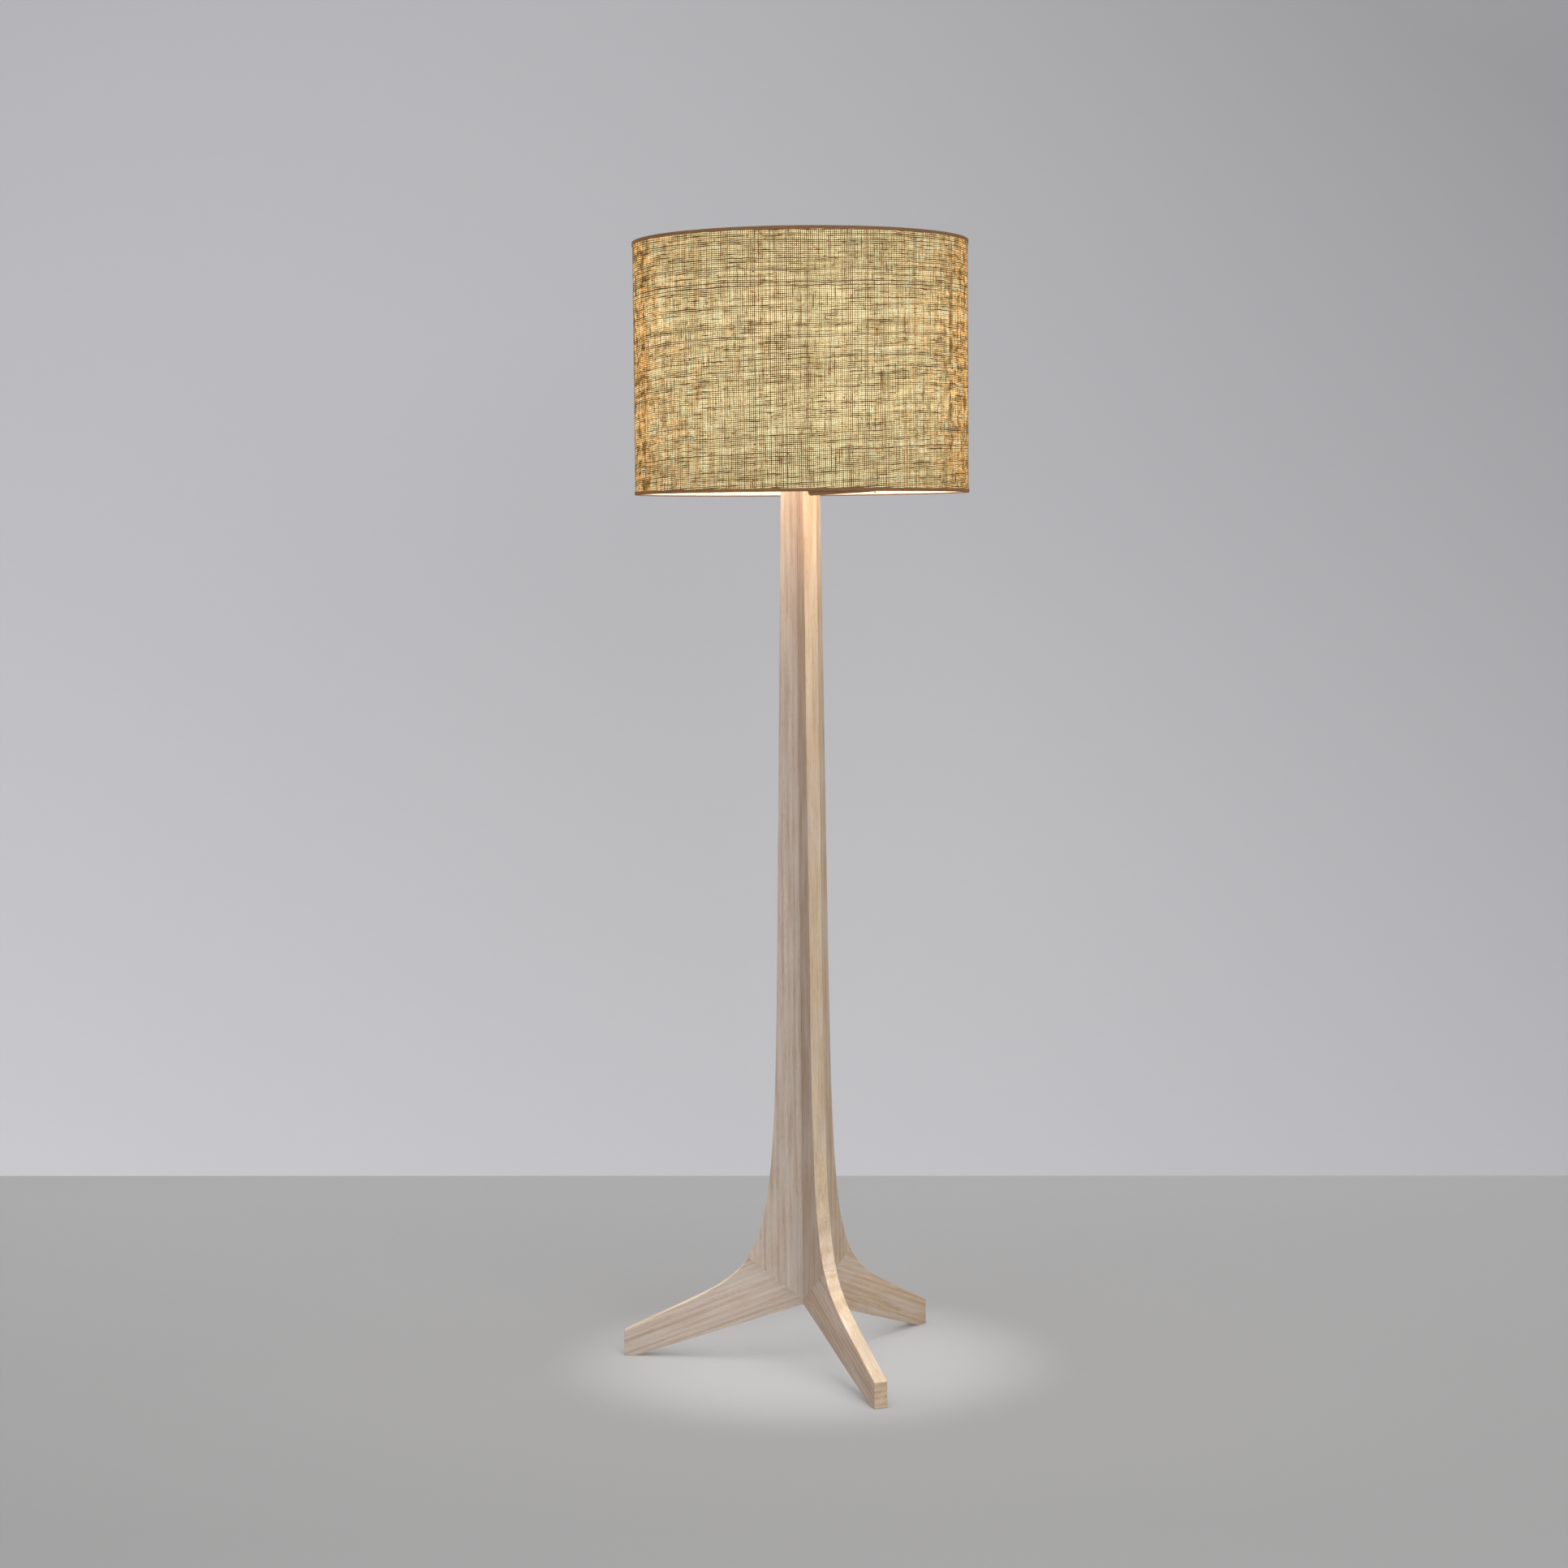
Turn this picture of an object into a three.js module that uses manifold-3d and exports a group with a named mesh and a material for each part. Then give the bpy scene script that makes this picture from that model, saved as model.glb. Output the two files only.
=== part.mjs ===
// A floor lamp. Three mitred boards in a Y plan form the column and its three feet.
// A harp on the column carries a drum shade of coarse burlap over one E26 bulb.
// Millimetres, +Z up. The floor is z = 0, and the origin is the centre of the lamp's footprint.
import * as THREE from "three";
import { mergeVertices } from "three/addons/utils/BufferGeometryUtils.js";
import Module from "manifold-3d";

const wasm = await Module();
wasm.setup();

// ---------------------------------------------------------------- driving dimensions
const GAP = 0.3; // between pieces that touch
const LEG_ANGLES = { front: -90, right: 30, left: 150 }; // degrees about the column axis

// Boards
const boardThickness = 21;
const columnTop = 1425;
const columnTopReach = 30; // from the axis to a board's outer edge, at the column top
const columnTaper = 0.0163; // how much that reach grows per millimetre downwards
const throatTop = 758; // height where the straight taper ends and the sweep begins
const legReach = 292;
const toeHeight = 39.8;
const toeSlope = 0.485; // rise of the foot's straight upper edge
const instepReach = 210; // where that straight edge ends and the sweep begins
const throatPull = 604; // how far the sweep holds to the column's line
const instepPull = 176; // how far it holds to the foot's line
const soleLength = 19;
const crotchHeight = 93; // height of the undersides where they meet at the axis
const mitreRise = 0.74; // slope of the mitre from the crotch to the sweep
const mitreSpline = { thickness: 4, width: 22, length: 56, start: 28 };

// Foot pads
const padRadius = 7;
const padThickness = 2.8;
const padStandProud = 0.8;

// Wire channel, bushing and lead
const channelRadius = 5.5;
const bushingLength = 14;
const bushingFlange = { radius: 8, thickness: 2 };
const leadRadius = 2.8;
const leadClearance = 0.8; // round the lead, inside the bushing

// Column cap and its screws
const capThickness = 3;
const capOverhang = 4;
const capScrew = { reach: 19, headRadius: 3.8, headHeight: 2.2, shankRadius: 1.8, length: 24 };

// Threaded nipple, locknut and washer
const nipple = { radius: 4.8, wall: 1.4, below: 9, above: 9 };
const locknut = { acrossCorners: 16, height: 4 };
const washer = { radius: 12, thickness: 1.2 };

// Harp and its saddle
const saddle = { thickness: 1.6, width: 14, tipWidth: 5.4, rise: 24, tipLength: 11, bend: 4 };
const harp = { spread: 29, height: 254, bulge: 54, wireRadius: 1.9, straight: 34 };
const sleeve = { wall: 1.3, length: 14 };
const stud = { shankRadius: 2.2, headRadius: 4.5, headHeight: 1.6, seatRadius: 8, seatHeight: 2.5 };
const studThread = { radius: 3.15, length: 14 };
const harpPad = { radius: 7.5, thickness: 4 };

// Lampholder
// room is what the cap's outside stands off the screw shell
const holder = { room: 5.1, wall: 0.8, flareTop: 14, capHeight: 22, shellTop: 60 };
const holderBodyHeight = 17;
const holderContact = { radius: 5, height: 1.2 };
const screwThread = { pitch: 3.6, depth: 0.35, turns: 5 };
const screwShell = { clearance: 1, wall: 0.5 };
const knob = { shaftRadius: 1.7, reach: 34, gripRadius: 6.5, gripThickness: 4, gripLength: 11 };

// Bulb
const bulb = { length: 108, radius: 30, neckRadius: 12.6, baseRadius: 12.7, glass: 1 };
const bulbContact = { radius: 4.5, height: 1.6 };

// Shade
const shadeRadius = 254;
const shadeHeight = 380;
const fabricThickness = 0.8;
const linerThickness = 0.6;
const ringWire = 1.1; // radius of the ring wire
const ringInset = 2.3; // from the rim to the ring's centre
const hem = { thickness: 0.7, width: 5, inside: 2.2 }; // width shows outside
const spiderDrop = 31; // from the rim down to the hub's top
const spiderWire = 1.5; // radius of an arm
const spiderRun = 0.86; // how far along its reach an arm stays level
const hub = { radius: 13, thickness: 2 };
const finial = { radius: 8, height: 24 };

// ---------------------------------------------------------------- derived places
const footprintShift = (legReach - (shadeRadius + GAP + hem.thickness)) / 2;
const sole = padStandProud;
const capBottom = columnTop + GAP;
const capTop = capBottom + capThickness;
const washerBottom = capTop + GAP;
const saddleBottom = washerBottom + washer.thickness + GAP;
const saddleTop = saddleBottom + saddle.thickness;
const holderBase = saddleTop + GAP;
const saddleTip = saddleTop + saddle.rise;
const harpPadBottom = saddleTop + harp.height;
const harpPadTop = harpPadBottom + harpPad.thickness;
const studSeat = harpPadTop + GAP;
const hubBottom = studSeat + stud.seatHeight + GAP;
const hubTop = hubBottom + hub.thickness;
const rimTop = hubTop + spiderDrop;
const rimBottom = rimTop - shadeHeight;
const linerOuter = shadeRadius - fabricThickness - GAP;
const ringRadius = linerOuter - linerThickness - GAP - ringWire;
const nippleTop = holderBase + nipple.above;
const screwShellRadius = bulb.baseRadius + screwShell.clearance;
const holderRadius = screwShellRadius + holder.room;
const shellOuter = holderRadius - holder.wall - GAP;
const sleeveOuter = shellOuter - holder.wall - GAP;
const bodyRadius = sleeveOuter - holder.wall - GAP;
const bodyBottom = holderBase + holder.flareTop + 1;
const bodyTop = bodyBottom + holderBodyHeight;
const bulbTip = bodyTop + holderContact.height + 2 * GAP;
const knobHeight = (bodyBottom + bodyTop) / 2;

// ---------------------------------------------------------------- shape helpers
const radians = THREE.MathUtils.degToRad;

// A closed geometry as a solid that can be joined and cut.
function solid(geometry) {
  const plain = geometry.clone();
  plain.deleteAttribute("normal");
  plain.deleteAttribute("uv");
  const merged = mergeVertices(plain, 1e-3);
  return new wasm.Manifold(new wasm.Mesh({
    numProp: 3,
    vertProperties: merged.attributes.position.array,
    triVerts: new Uint32Array(merged.index.array),
  }));
}

function geometryOf(body) {
  const { vertProperties, triVerts } = body.getMesh();
  const geometry = new THREE.BufferGeometry();
  geometry.setAttribute("position", new THREE.BufferAttribute(vertProperties, 3));
  geometry.setIndex(new THREE.BufferAttribute(triVerts, 1));
  return geometry;
}

// A turned solid about Z. The profile is [radius, z] points, and it runs up the outside.
function turned(profile, segments = 20) {
  const points = profile.map(([r, z]) => new THREE.Vector2(r, z));
  return solid(new THREE.LatheGeometry(points, segments).rotateX(Math.PI / 2));
}

function rod(radius, bottom, top, segments = 20) {
  return turned([[0, bottom], [radius, bottom], [radius, top], [0, top]], segments);
}

function tube(outer, inner, bottom, top, segments = 20) {
  const profile = [[inner, bottom], [outer, bottom], [outer, top], [inner, top], [inner, bottom]];
  return turned(profile, segments);
}

function box(x, y, z, centre) {
  return solid(new THREE.BoxGeometry(x, y, z).translate(...centre));
}

// An outline in the plane of radius and height, given thickness across that plane.
function slab(shape, thickness, curveSegments = 28) {
  const options = { depth: thickness, bevelEnabled: false, curveSegments };
  const geometry = new THREE.ExtrudeGeometry(shape, options);
  return solid(geometry.translate(0, 0, -thickness / 2).rotateX(Math.PI / 2));
}

// A round wire along a curve.
function wire(curve, radius, steps, halfSides = 4) {
  const section = new THREE.Shape().absarc(0, 0, radius, 0, 2 * Math.PI);
  const options = { extrudePath: curve, steps, curveSegments: halfSides, bevelEnabled: false };
  return solid(new THREE.ExtrudeGeometry(section, options));
}

function polygon(points) {
  return new THREE.Shape(points.map(([x, y]) => new THREE.Vector2(x, y)));
}

function ripple(radius, bottom, wall = 0) {
  const points = [];
  for (let i = 0; i <= 2 * screwThread.turns; i += 1) {
    const crest = i % 2 ? screwThread.depth : -screwThread.depth;
    points.push([radius + wall + crest, bottom + (i * screwThread.pitch) / 2]);
  }
  return points;
}

// ---------------------------------------------------------------- materials
function finish(color, roughness, metalness = 0) {
  return new THREE.MeshStandardMaterial({ color, roughness, metalness });
}
const limedOak = finish(0xb8a494, 0.75);
const beech = finish(0xcfae84, 0.7);
const feltBrown = finish(0x6b5a4c, 0.95);
const blackPlastic = finish(0x1d1c1b, 0.45);
const steel = finish(0x9a9a98, 0.35, 1);
const brass = finish(0xb08d4a, 0.3, 1);
const fibre = finish(0x8c7a62, 0.9);
const frostedGlass = finish(0xf7efe0, 0.4);
const burlap = finish(0xbfae80, 0.95);
const styrene = finish(0xf3ecd8, 0.6);
const hemBrown = finish(0x8a6e4e, 0.95);
const copperLead = finish(0xd8d4c8, 0.6);

// ---------------------------------------------------------------- assembly
const lamp = new THREE.Group();
const axis = new THREE.Group();
axis.position.y = footprintShift;
lamp.add(axis);

function place(name, body, material, parent = axis) {
  const mesh = new THREE.Mesh(geometryOf(body), material);
  mesh.name = name;
  parent.add(mesh);
  return mesh;
}

// ---------------------------------------------------------------- boards
// The outline of one leg and its upright together, out from the axis.
function legOutline() {
  const throatReach = columnTopReach + (columnTop - throatTop) * columnTaper;
  const instepHeight = toeHeight + (legReach - instepReach) * toeSlope;
  const down = new THREE.Vector2(columnTaper, -1).setLength(throatPull);
  const inward = new THREE.Vector2(-1, toeSlope).setLength(instepPull);
  const outline = new THREE.Shape();
  outline.moveTo(0, crotchHeight);
  outline.lineTo(legReach - soleLength, sole);
  outline.lineTo(legReach, sole);
  outline.lineTo(legReach, toeHeight);
  outline.lineTo(instepReach, instepHeight);
  outline.bezierCurveTo(
    instepReach + inward.x, instepHeight + inward.y,
    throatReach + down.x, throatTop + down.y,
    throatReach, throatTop,
  );
  outline.lineTo(columnTopReach, columnTop);
  outline.lineTo(0, columnTop);
  return outline;
}

// The 120 degree wedge of plan that one board owns, a little short of its neighbours.
function planWedge() {
  const tip = GAP / 2 / Math.sin(radians(60));
  const far = 2 * legReach;
  const spread = (far - tip) * Math.tan(radians(60));
  const geometry = new THREE.ExtrudeGeometry(
    polygon([[tip, 0], [far, -spread], [far, spread]]),
    { depth: 2 * columnTop, bevelEnabled: false },
  );
  return solid(geometry.translate(0, 0, -columnTop / 2));
}

// Everything below the mitre plane, moved down by shift.
function belowMitre(shift) {
  const far = 2 * legReach;
  const start = crotchHeight - shift;
  const outline = polygon([
    [-far, start - far * mitreRise], [-far, -far],
    [far, -far], [far, start + far * mitreRise],
  ]);
  return slab(outline, 4 * boardThickness);
}

// A loose tongue inside the mitre, across both boards.
function splineBar(clearance) {
  const slope = Math.atan(mitreRise);
  const middle = mitreSpline.start + mitreSpline.length / 2;
  const bar = new THREE.BoxGeometry(
    mitreSpline.length + 2 * clearance,
    mitreSpline.thickness + 2 * clearance,
    mitreSpline.width + 2 * clearance,
  );
  bar.translate(middle, 0, 0).rotateY(-slope).translate(0, 0, crotchHeight);
  return solid(bar);
}

function screwBody(clearance) {
  const top = capTop + clearance;
  const head = capScrew.headRadius + clearance;
  const shank = capScrew.shankRadius + clearance;
  const neck = capTop - capScrew.headHeight - clearance;
  const end = capTop - capScrew.length - clearance;
  const profile = [[0, end], [shank / 2, end], [shank, end + 4], [shank, neck], [head, capTop]];
  profile.push([head, top + 0.01], [0, top + 0.01]);
  return turned(profile, 16).translate([capScrew.reach, 0, 0]);
}

const bushingSeat = crotchHeight + 1;
const nutPocket = locknut.acrossCorners / 2 + 1;
const mitreGap = GAP / 2 / Math.cos(Math.atan(mitreRise));
const padReach = legReach - soleLength / 2;

const wedgedLeg = slab(legOutline(), boardThickness).intersect(planWedge());
const boredLeg = wedgedLeg
  .subtract(rod(channelRadius, 0, 2 * columnTop))
  .subtract(rod(nipple.radius + GAP, columnTop - nipple.below - GAP, 2 * columnTop))
  .subtract(rod(bushingFlange.radius + GAP, 0, bushingSeat))
  .subtract(rod(nutPocket, columnTop - locknut.height - 2, 2 * columnTop))
  .subtract(splineBar(GAP))
  .subtract(screwBody(GAP));
const uprightBoard = boredLeg.subtract(belowMitre(-mitreGap));
const padRecess = rod(padRadius + GAP, -1, padThickness + GAP).translate([padReach, 0, 0]);
const footBoard = boredLeg.intersect(belowMitre(mitreGap)).subtract(padRecess);

for (const [side, angle] of Object.entries(LEG_ANGLES)) {
  const leg = new THREE.Group();
  leg.rotation.z = radians(angle);
  axis.add(leg);
  place("upright_board_" + side, uprightBoard, limedOak, leg);
  place("foot_board_" + side, footBoard, limedOak, leg);
  place("mitre_spline_" + side, splineBar(0), beech, leg);
  place("foot_pad_" + side, rod(padRadius, 0, padThickness).translate([padReach, 0, 0]), feltBrown, leg);
  place("cap_screw_" + side, screwBody(0), steel, leg);
}

// ---------------------------------------------------------------- bushing and lead
const bushingOuter = channelRadius - GAP;
const flangeTop = bushingSeat - GAP;
const flangeBottom = flangeTop - bushingFlange.thickness;
const bushingBore = leadRadius + leadClearance;
const bushing = tube(bushingFlange.radius, bushingBore, flangeBottom, flangeTop, 20)
  .add(tube(bushingOuter, bushingBore, flangeBottom, flangeTop + bushingLength, 20));
place("cord_bushing", bushing, blackPlastic);
place("internal_lead", rod(leadRadius, flangeBottom + 1, nippleTop + 2, 12), copperLead);

// ---------------------------------------------------------------- column cap
let columnCap = tube(columnTopReach + capOverhang, nipple.radius + GAP, capBottom, capTop, 48);
for (const angle of Object.values(LEG_ANGLES)) {
  columnCap = columnCap.subtract(screwBody(GAP).rotate([0, 0, angle]));
}
place("column_cap", columnCap, steel);
const nippleBore = nipple.radius - nipple.wall;
place("nipple", tube(nipple.radius, nippleBore, columnTop - nipple.below, nippleTop, 20), brass);
const hexagon = rod(locknut.acrossCorners / 2, columnTop - locknut.height, columnTop, 6);
place("locknut", hexagon.subtract(rod(nipple.radius + GAP, 0, 2 * columnTop)), steel);
const washerTop = washerBottom + washer.thickness;
place("saddle_washer", tube(washer.radius, nipple.radius + GAP, washerBottom, washerTop, 28), steel);

// ---------------------------------------------------------------- saddle and harp
// A flat strip bent up at both ends, with its tips cut narrow to take the harp.
function saddleStrip() {
  const outer = harp.spread + saddle.thickness / 2;
  const inner = harp.spread - saddle.thickness / 2;
  const outline = polygon([
    [-outer, saddleTip], [-outer, saddleBottom + saddle.bend],
    [saddle.bend - outer, saddleBottom], [outer - saddle.bend, saddleBottom],
    [outer, saddleBottom + saddle.bend], [outer, saddleTip],
    [inner, saddleTip], [inner, saddleTop + saddle.bend],
    [inner - saddle.bend, saddleTop], [saddle.bend - inner, saddleTop],
    [-inner, saddleTop + saddle.bend], [-inner, saddleTip],
  ]);
  const trim = (saddle.width - saddle.tipWidth) / 2;
  const tipHeight = saddle.tipLength + 1;
  let strip = slab(outline, saddle.width).subtract(rod(nipple.radius + GAP, 0, 2 * columnTop));
  for (const side of [-1, 1]) {
    const y = side * (saddle.tipWidth / 2 + trim);
    const z = saddleTip + 1 - tipHeight / 2;
    strip = strip.subtract(box(4 * harp.spread, 2 * trim, tipHeight, [0, y, z]));
  }
  return strip;
}

// The bow's centre line, from one saddle tip up over the bulb to the other.
function harpCurve() {
  const bottom = saddleTip + GAP;
  const top = harpPadBottom + harpPad.thickness / 2;
  const rise = top - bottom;
  const half = [
    [harp.spread, 0], [harp.spread, harp.straight / rise],
    [harp.bulge * 0.86, 0.34], [harp.bulge, 0.56], [harp.bulge * 0.87, 0.8], [harp.bulge * 0.46, 0.96],
  ];
  const left = half.map(([x, share]) => new THREE.Vector3(-x, 0, bottom + share * rise));
  const right = half.map(([x, share]) => new THREE.Vector3(x, 0, bottom + share * rise)).reverse();
  return new THREE.CatmullRomCurve3([...left, new THREE.Vector3(0, 0, top), ...right]);
}

place("harp_saddle", saddleStrip(), brass);
const harpBow = wire(harpCurve(), harp.wireRadius, 40)
  .subtract(rod(stud.headRadius + GAP, 0, harpPadBottom))
  .add(rod(harpPad.radius, harpPadBottom, harpPadTop))
  .subtract(rod(stud.shankRadius + GAP, 0, 2 * harpPadTop));
place("harp_bow", harpBow, brass);

const sleeveBore = Math.hypot(saddle.tipWidth, saddle.thickness) / 2 + GAP;
const sleeveBottom = saddleTip - saddle.tipLength + GAP;
for (const [side, x] of [["left", -harp.spread], ["right", harp.spread]]) {
  const ferrule = tube(sleeveBore + sleeve.wall, sleeveBore, sleeveBottom, sleeveBottom + sleeve.length, 20);
  place("harp_sleeve_" + side, ferrule.translate([x, 0, 0]), brass);
}

// The stud is riveted through the pad, so that it can turn there.
const studHeadTop = harpPadBottom - GAP;
const studTop = hubTop + studThread.length;
const studBody = turned([
  [0, studHeadTop - stud.headHeight], [stud.headRadius, studHeadTop - stud.headHeight],
  [stud.headRadius, studHeadTop], [stud.shankRadius, studHeadTop],
  [stud.shankRadius, studSeat], [stud.seatRadius, studSeat],
  [stud.seatRadius, studSeat + stud.seatHeight], [studThread.radius, studSeat + stud.seatHeight],
  [studThread.radius, studTop - 1], [studThread.radius - 1, studTop], [0, studTop],
], 16);
place("harp_stud", studBody, brass);

// ---------------------------------------------------------------- lampholder
const flareFoot = nipple.radius + 3;
const flareBottom = holderBase + 3;
const flareTop = holderBase + holder.flareTop;
const holderCap = turned([
  [nipple.radius + GAP, holderBase], [flareFoot, holderBase], [flareFoot + 1, flareBottom],
  [holderRadius, flareTop], [holderRadius, holderBase + holder.capHeight],
  [holderRadius - holder.wall, holderBase + holder.capHeight], [holderRadius - holder.wall, flareTop + 0.4],
  [flareFoot, flareBottom + 0.8], [nipple.radius + GAP, flareBottom + 0.8], [nipple.radius + GAP, holderBase],
], 24);
const knobBore = solid(new THREE.CylinderGeometry(
  knob.shaftRadius + GAP, knob.shaftRadius + GAP, 2 * knob.reach, 16,
).translate(0, -knob.reach, knobHeight));
const shellBottom = flareTop + 1;
const shellTop = holderBase + holder.shellTop;
const holderShell = tube(shellOuter, shellOuter - holder.wall, shellBottom, shellTop, 24);
const holderSleeve = tube(sleeveOuter, sleeveOuter - holder.wall, shellBottom, shellTop - 2, 24);
const holderBody = rod(bodyRadius, bodyBottom, bodyTop, 24);
place("holder_cap", holderCap.subtract(knobBore), brass);
place("holder_shell", holderShell.subtract(knobBore), brass);
place("holder_insulating_sleeve", holderSleeve.subtract(knobBore), fibre);
place("holder_switch_body", holderBody.subtract(knobBore), blackPlastic);

const threadBottom = bodyTop + GAP;
const shellInner = ripple(screwShellRadius, threadBottom);
const shellOutside = ripple(screwShellRadius, threadBottom, screwShell.wall);
place("holder_screw_shell", turned([...shellOutside, ...shellInner.reverse(), shellOutside[0]], 16), brass);
place("holder_contact", rod(holderContact.radius, bodyTop + GAP, bodyTop + holderContact.height, 20), brass);

// The knob's shaft lies along -Y and turns about it.
const knobTip = knob.reach + knob.gripThickness;
const shaft = new THREE.CylinderGeometry(knob.shaftRadius, knob.shaftRadius, knob.reach - GAP, 14);
const grip = new THREE.CylinderGeometry(knob.gripRadius, knob.gripRadius * 0.8, knob.gripThickness, 20);
const ear = new THREE.BoxGeometry(knob.gripThickness * 0.8, knob.gripThickness, knob.gripLength * 1.6);
const switchKnob = solid(shaft.translate(0, -(knob.reach + GAP) / 2, knobHeight))
  .add(solid(grip.translate(0, -knobTip + knob.gripThickness / 2, knobHeight)))
  .add(solid(ear.translate(0, -knobTip + knob.gripThickness / 2 - 1, knobHeight)));
place("switch_knob", switchKnob, blackPlastic);

// ---------------------------------------------------------------- bulb
const contactTop = bulbTip + bulbContact.height;
const baseBottom = contactTop + GAP;
const baseThread = ripple(bulb.baseRadius, baseBottom + 3);
const baseTop = baseThread[baseThread.length - 1][1] + 2;
const bulbBase = turned([
  [0, baseBottom], [bulb.baseRadius * 0.6, baseBottom], ...baseThread,
  [bulb.neckRadius, baseTop], [0, baseTop],
], 20);
place("bulb_contact", rod(bulbContact.radius, bulbTip, contactTop, 20), brass);
place("bulb_base", bulbBase, brass);

// The envelope: a neck that sweeps out into a globe. Inset gives the inner surface.
function envelope(inset) {
  const radius = bulb.radius - inset;
  const centre = bulbTip + bulb.length - bulb.radius;
  const join = radians(-38);
  const neck = [bulb.neckRadius - inset, baseTop + GAP];
  const tangent = [Math.sin(join), -Math.cos(join)];
  const end = [radius * Math.cos(join), centre + radius * Math.sin(join)];
  const sweep = new THREE.CubicBezierCurve(
    new THREE.Vector2(...neck), new THREE.Vector2(neck[0], neck[1] + 14),
    new THREE.Vector2(end[0] + tangent[0] * 12, end[1] + tangent[1] * 12), new THREE.Vector2(...end),
  );
  const points = sweep.getPoints(5).map((p) => [p.x, p.y]);
  const arcSteps = 7;
  for (let i = 1; i <= arcSteps; i += 1) {
    const angle = join + (i / arcSteps) * (Math.PI / 2 - join);
    points.push([i === arcSteps ? 0 : radius * Math.cos(angle), centre + radius * Math.sin(angle)]);
  }
  return points;
}
const outside = envelope(0);
place("bulb_glass", turned([...outside, ...envelope(bulb.glass).reverse(), outside[0]], 20), frostedGlass);

// ---------------------------------------------------------------- shade
const shadeSegments = 48;
const wallTop = rimTop - hem.thickness - GAP;
const wallBottom = rimBottom + hem.thickness + GAP;
const fabric = tube(shadeRadius, shadeRadius - fabricThickness, wallBottom, wallTop, shadeSegments);
const liner = tube(linerOuter, linerOuter - linerThickness, wallBottom, wallTop, shadeSegments);
place("shade_fabric", fabric, burlap);
place("shade_liner", liner, styrene);

function ringAt(height) {
  const sides = 6;
  const profile = [];
  for (let i = 0; i <= sides; i += 1) {
    const angle = (i / sides) * 2 * Math.PI;
    profile.push([ringRadius + ringWire * Math.cos(angle), height + ringWire * Math.sin(angle)]);
  }
  return turned(profile, shadeSegments);
}

// A folded strip of cloth over the rim, from outside the fabric to behind the ring.
function hemAt(rim, inwards) {
  const outer = shadeRadius + GAP + hem.thickness;
  const inner = ringRadius - ringWire - GAP - hem.thickness;
  const edge = rim + inwards * hem.width;
  const insideEdge = rim + inwards * hem.inside;
  const fold = rim + inwards * hem.thickness;
  const profile = [
    [inner, rim], [outer, rim], [outer, edge], [outer - hem.thickness, edge],
    [outer - hem.thickness, fold], [inner + hem.thickness, fold],
    [inner + hem.thickness, insideEdge], [inner, insideEdge], [inner, rim],
  ];
  return turned(inwards > 0 ? profile : profile.reverse(), shadeSegments);
}

const topRing = rimTop - ringInset;
const bottomRing = rimBottom + ringInset;
place("top_ring", ringAt(topRing), steel);
place("bottom_ring", ringAt(bottomRing), steel);

// An arm runs level from the hub, then rises to the top ring.
function spiderArm(radius) {
  const start = hub.radius + 2 * GAP;
  const level = (hubTop + hubBottom) / 2;
  const bend = start + (ringRadius - start) * spiderRun;
  const curve = new THREE.CatmullRomCurve3([
    new THREE.Vector3(start, 0, level), new THREE.Vector3((start + bend) / 2, 0, level),
    new THREE.Vector3(bend, 0, level),
    new THREE.Vector3((bend + ringRadius) / 2, 0, (level + topRing) / 2 + 2),
    new THREE.Vector3(ringRadius, 0, topRing),
  ]);
  return wire(curve, radius, 16, 3);
}

const armEnd = ringRadius - ringWire - GAP;
const pastArm = tube(2 * shadeRadius, armEnd, 0, 2 * rimTop, shadeSegments);
let topHem = hemAt(rimTop, -1);
for (const [side, angle] of Object.entries(LEG_ANGLES)) {
  const turn = [0, 0, angle];
  topHem = topHem.subtract(spiderArm(spiderWire + GAP).rotate(turn));
  place("spider_arm_" + side, spiderArm(spiderWire).subtract(pastArm).rotate(turn), steel);
}
place("hem_top", topHem, hemBrown);
place("hem_bottom", hemAt(rimBottom, 1), hemBrown);
place("spider_hub", tube(hub.radius, studThread.radius + GAP, hubBottom, hubTop, 24), steel);

// ---------------------------------------------------------------- finial
const finialBottom = hubTop + GAP;
const finialBore = studThread.radius + GAP;
const boreTop = studTop + GAP;
const finialTop = finialBottom + finial.height;
const finialBody = turned([
  [finialBore, finialBottom], [finial.radius, finialBottom], [finial.radius, finialBottom + 2],
  [finial.radius * 0.62, finialBottom + 4], [finial.radius * 0.62, finialBottom + 7],
  [finial.radius * 0.92, finialBottom + 11], [finial.radius, finialBottom + 15],
  [finial.radius * 0.85, finialTop - 5], [finial.radius * 0.45, finialTop - 1], [0, finialTop],
  [0, boreTop], [finialBore, boreTop], [finialBore, finialBottom],
], 18);
place("finial", finialBody, brass);

export default lamp;
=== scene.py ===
# %% [markdown]
# A floor lamp: three limed oak boards in a Y plan, mitred into three feet, and a drum
# shade of open burlap lit from inside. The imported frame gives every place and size.

# %% Load the frame
import random
from math import atan, atan2, copysign, cos, pi, radians, sin, sqrt, tau

import bpy
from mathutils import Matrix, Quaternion, Vector, noise


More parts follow.
